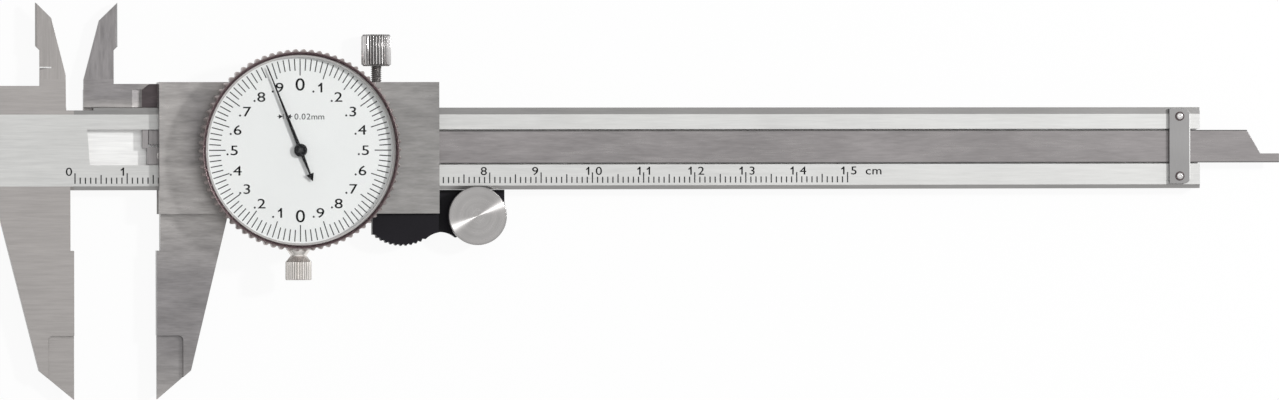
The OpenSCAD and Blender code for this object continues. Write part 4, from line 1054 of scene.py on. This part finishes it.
class CALIPER_OT_bezel(CaliperOperator, bpy.types.Operator):
    """Turns and knurls the bezel, with painted shade on its lip round the crystal"""

    bl_idname = "caliper.bezel"
    bl_label = "Knurled bezel"

    def execute(self, context):
        size = settings().knurls
        crest, low, high = gauge("bezel", "z")
        window, seat = 18.2, 17.62
        profile = [
            (window, low + 2.0), (seat, low + 1.9), (seat, low), (crest - 0.35, low),
            (crest - 0.12, low + 0.12), (crest, low + 0.35), (crest, high - 0.9),
            (crest - 0.1, high - 0.55), (crest - 0.38, high - 0.2), (crest - 0.5, high - 0.05),
            (crest - 0.6, high), (crest - 0.72, high - 0.04), (window + 0.06, high - 0.62),
            (window, high - 0.7),
        ]
        ring = fluted("knurled_bezel", profile, size.bezel_count, KNURL, crest - 0.45, size.bezel_depth)
        dress(ring, "bezel", "bezel_metal", "bezel", "lip")
        # The lip inside the knurls takes the painted shade
        slots(ring, lambda spot: spot.xy.length < (crest - 0.62) * MM and spot.z > (high - 0.71) * MM, 40)
        place(ring, at(DIAL.x, DIAL.y, 0))
        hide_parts("bezel")
        return {"FINISHED"}


def knob_profile(radius, long, start, chamfer, dish=0.0):
    """Outline of a knob's head from its neck to its end, in millimetres."""
    end = start + long
    return [
        (radius - chamfer, start), (radius, start + chamfer * 0.8), (radius, end - chamfer),
        (radius - chamfer * 0.8, end), (0.35 * radius, end - dish), (0, end - dish),
    ]


class CALIPER_OT_lock_screw(CaliperOperator, bpy.types.Operator):
    """Makes the lock screw with its fluted head and its thread"""

    bl_idname = "caliper.lock_screw"
    bl_label = "Lock screw"

    def execute(self, context):
        size = settings().knurls
        radius, low, high = gauge("lock_screw", "y")
        head, stub = 6.1, 0.86
        neck = high - low - head
        profile = [(0, neck + 0.3), (stub, neck + 0.3), (stub, neck), (radius - 0.6, neck)]
        profile += knob_profile(radius, head, neck, 0.45, 0.15)
        knob = fluted("lock_screw_knob", profile, size.lock_count, FLUTE, radius - 0.5, size.lock_depth)
        pitch, crest = size.thread_pitch, 1.04 * MM
        root = crest - size.thread_depth
        # One turn of the thread: its radii at shares of the pitch
        turn = [(root, 0), (root, 0.12), (crest, 0.44), (crest, 0.56), (root, 0.88)]
        thread = outline("lock_screw_thread", [(reach, share * pitch) for reach, share in turn],
                         lambda vert: vert.index in (0, len(turn) - 1))
        mode("OBJECT")
        screw = thread.modifiers.new("Screw", "SCREW")
        screw.axis = "Z"
        screw.screw_offset = pitch
        screw.iterations = int(neck * MM / pitch)
        screw.steps = screw.render_steps = 24
        screw.use_merge_vertices = True
        screw.merge_threshold = 1e-6
        bpy.ops.object.modifier_apply(modifier="Screw")
        mode("EDIT")
        bpy.ops.mesh.select_all(action="DESELECT")
        bpy.ops.mesh.select_non_manifold()
        bpy.ops.mesh.edge_face_add()
        tidy_mesh(smooth=35)
        whole_screw = join("lock_screw_piece", [knob, thread])
        edit(whole_screw)
        tidy_mesh(smooth=35)
        dress(whole_screw, "lock_screw", "screw_steel", "lock", "thread")
        slots(whole_screw, lambda spot: spot.z < neck * MM - 1e-5)
        axis = middle("lock_screw")
        place(whole_screw, at(axis.x, low * MM, axis.z) @ Matrix.Rotation(-pi / 2, 4, "X"))
        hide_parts("lock_screw")
        return {"FINISHED"}


class CALIPER_OT_clamp_screw(CaliperOperator, bpy.types.Operator):
    """Makes the bezel's clamp screw with its flare, neck and fluted head"""

    bl_idname = "caliper.clamp_screw"
    bl_label = "Bezel clamp screw"

    def execute(self, context):
        size = settings().knurls
        radius, low, high = gauge("bezel_clamp_screw", "y")
        head, shank, flare, waist = 3.6, 1.0, 2.35, 1.6
        neck = high - low - head
        profile = [
            (0, 0), (shank - 0.15, 0), (shank, 0.15), (shank, neck - 2.7), (flare, neck - 2.7),
            (flare, neck - 2.3), (waist + 0.06, neck - 1.25), (waist, neck - 1.15),
            (waist, neck - 0.98), (waist + 0.04, neck - 0.95), *knob_profile(radius, head, neck, 0.14),
        ]
        knob = fluted("clamp_screw_piece", profile, size.clamp_count, FLUTE, radius - 0.2,
                      size.clamp_depth, neck - 0.2)
        dress(knob, "bezel_clamp_screw", "screw_steel", "clamp", "thread")
        slots(knob, lambda spot: (neck - 0.3) * MM < spot.z < (neck - 0.02) * MM)
        axis = middle("bezel_clamp_screw")
        place(knob, at(axis.x, high * MM, axis.z) @ Matrix.Rotation(pi / 2, 4, "X"))
        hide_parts("bezel_clamp_screw")
        return {"FINISHED"}


class CALIPER_OT_thumb_roller(CaliperOperator, bpy.types.Operator):
    """Turns the thumb roller with its finely fluted rim"""

    bl_idname = "caliper.thumb_roller"
    bl_label = "Thumb roller"

    def execute(self, context):
        size = settings().knurls
        radius, low, high = gauge("thumb_roller", "z")
        drum, bore, disc = 5.03, 0.97, 1.3
        profile = [
            (bore, low), (drum - 0.15, low), (drum, low + 0.15), (drum, high - disc),
            (radius - 0.12, high - disc), (radius, high - disc + 0.12), (radius, high - 0.15),
            (radius - 0.06, high - 0.06), (radius - 0.2, high), (radius - 0.26, high),
            (radius * 0.5, high), (0.06, high), (0, high), (0, high - 0.35), (bore, high - 0.35),
        ]
        roller = fluted("roller_piece", profile, size.roller_count, FINE_FLUTE, radius - 0.1,
                        size.roller_depth)
        edit(roller)
        tidy_mesh(smooth=30)
        place(roller, at(*middle("thumb_roller").xy, 0))
        dress(roller, "thumb_roller", "turned_steel", "turned")
        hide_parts("thumb_roller")
        return {"FINISHED"}


class CALIPER_OT_keeper_screws(CaliperOperator, bpy.types.Operator):
    """Turns the keeper plate's two screws, each with painted shade in a groove round a bright domed middle
    """

    bl_idname = "caliper.keeper_screws"
    bl_label = "Keeper screws"

    def execute(self, context):
        low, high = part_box("keeper_screws")
        radius, foot, tip = gauge("keeper_screws", "z")
        face, shank = top("keeper_plate") / MM, 0.58
        profile = [
            (0, foot), (shank, foot), (shank, face), (radius, face), (radius, tip - 0.3),
            (radius - 0.06, tip - 0.22), (radius - 0.1, tip - 0.22), (radius - 0.12, face + 0.03),
            (radius - 0.2, face + 0.03), (radius - 0.22, tip - 0.16), (radius - 0.32, tip - 0.05),
            (radius - 0.5, tip), (0.26, tip), (0.2, tip - 0.1), (0, tip - 0.12),
        ]
        screw = turned("keeper_screw", profile, 32)
        # The groove round each screw's middle takes the painted shade of the lip
        dress(screw, "beam", "screw_steel", "lock", "lip")
        slots(screw, lambda spot: radius - 0.24 < spot.xy.length / MM and spot.z > (face + 0.01) * MM)
        places = [at(middle("keeper_screws").x, y, 0)
                  for y in (low.y + radius * MM, high.y - radius * MM)]
        screws = join("keeper_screw_pair", repeated(screw, places))
        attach(screws, "beam")
        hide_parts("keeper_screws")
        return {"FINISHED"}


# Each lamp: its name, azimuth and elevation in degrees, distance, size, and share of the key's power
LAMPS = (("key lamp", 21, 51, 0.9, 0.07, 1.0), ("broad lamp", 100, 75, 1.6, 1.0, 0.5))


class CALIPER_OT_stage(CaliperOperator, bpy.types.Operator):
    """Sets up the floor, the lamps, the world and the camera"""

    bl_idname = "caliper.stage"
    bl_label = "Stage"

    def execute(self, context):
        size = settings().stage
        scene = context.scene
        self.floor(size)
        self.lamps(size)
        self.world(scene, size)
        bpy.ops.object.camera_add(location=size.eye)
        camera = context.object
        camera.name = "photo camera"
        tilt = Matrix.Rotation(-size.lean, 4, "Y") @ Matrix.Rotation(size.roll, 4, "Z")
        camera.matrix_world = at(*size.eye) @ tilt
        camera.data.lens = size.lens
        camera.data.sensor_width = 36
        camera.data.sensor_fit = "HORIZONTAL"
        camera.data.clip_start, camera.data.clip_end = 0.01, 20
        scene.camera = camera
        scene.view_settings.view_transform = "Standard"
        return {"FINISHED"}

    def floor(self, size):
        """A wide floor that is nearly plain white to the camera and takes a faint shadow."""
        deselect()
        bpy.ops.mesh.primitive_plane_add(size=1, location=(0, 0, -0.02 * MM))
        floor = bpy.context.object
        floor.name = floor.data.name = "floor"
        floor.scale = (6, 6, 1)
        apply()
        material = bpy.data.materials.new("pale floor")
        tree = emptied(material)
        matt = add(tree, "BsdfDiffuse", {"Color": (0.95, 0.95, 0.95, 1)})
        glow = add(tree, "Emission", {"Color": WHITE, "Strength": 1.0})
        seen = math("MULTIPLY", rays(tree, "Camera", "Transmission", "Glossy"), size.glow)
        add(tree, "OutputMaterial", {"Surface": mixed(seen, matt, glow).outputs[0]})
        floor.data.materials.append(material)

    def lamps(self, size):
        """A small key lamp at the right and a broad lamp overhead."""
        for name, azimuth, elevation, far, wide, share in LAMPS:
            a, h = radians(azimuth), radians(elevation)
            way = Vector((cos(a) * cos(h), sin(a) * cos(h), sin(h)))
            bpy.ops.object.light_add(type="AREA", location=way * far)
            lamp = bpy.context.object
            lamp.name = name
            lamp.rotation_euler = way.to_track_quat("Z", "Y").to_euler()
            lamp.data.size = wide
            lamp.data.energy = size.key * share

    def world(self, scene, size):
        """A pale sky: darker towards the horizon for what the metal mirrors, plain white to the camera."""
        scene.world = bpy.data.worlds.new("studio")
        tree = emptied(scene.world)
        way = add(tree, "TexCoord").outputs["Generated"]
        rise = add(tree, "SeparateXYZ", {0: way}).outputs[2]
        at_horizon, overhead = 0.32, 1.0
        shade = between(rise, 0.15, 0.9, at_horizon, overhead)
        mirrored, plain, white = (
            add(tree, "Background", {"Color": WHITE, "Strength": strength})
            for strength in (shade, size.sky, 1.0)
        )
        lit = mixed(rays(tree, "Glossy"), plain, mirrored)
        sky = mixed(rays(tree, "Camera", "Transmission"), lit, white)
        add(tree, "OutputWorld", {"Surface": sky.outputs[0]})


OPERATORS = (
    CALIPER_OT_finishes, CALIPER_OT_beam_scale, CALIPER_OT_dial_print, CALIPER_OT_bezel,
    CALIPER_OT_lock_screw, CALIPER_OT_clamp_screw, CALIPER_OT_thumb_roller, CALIPER_OT_keeper_screws,
    CALIPER_OT_stage,
)


class CALIPER_PT_pieces(bpy.types.Panel):
    """Lists the caliper's steps and settings"""

    bl_idname = "CALIPER_PT_pieces"
    bl_label = "Dial caliper"
    bl_space_type = "VIEW_3D"
    bl_region_type = "UI"
    bl_category = "Caliper"

    def draw(self, context):
        for operator in OPERATORS:
            self.layout.operator(operator.bl_idname)
        for part in ("finishes", "scale", "dial", "knurls", "stage"):
            box = self.layout.box()
            box.label(text=part.capitalize())
            values = getattr(context.scene.caliper, part)
            for name in values.bl_rna.properties.keys():
                if name not in ("rna_type", "name"):
                    box.prop(values, name)


CLASSES = (
    CaliperFinishes, CaliperScale, CaliperDial, CaliperKnurls, CaliperStage, CaliperSettings,
    *OPERATORS, CALIPER_PT_pieces,
)


def register():
    """Adds the classes and the scene's settings."""
    for cls in CLASSES:
        bpy.utils.register_class(cls)
    bpy.types.Scene.caliper = PointerProperty(type=CaliperSettings)


def unregister():
    """Takes the settings and classes away again."""
    del bpy.types.Scene.caliper
    for cls in reversed(CLASSES):
        bpy.utils.unregister_class(cls)


def main():
    """Builds the looks step by step."""
    register()
    for operator in OPERATORS:
        getattr(bpy.ops.caliper, operator.bl_idname.split(".")[1])()


if __name__ == "__main__":
    main()
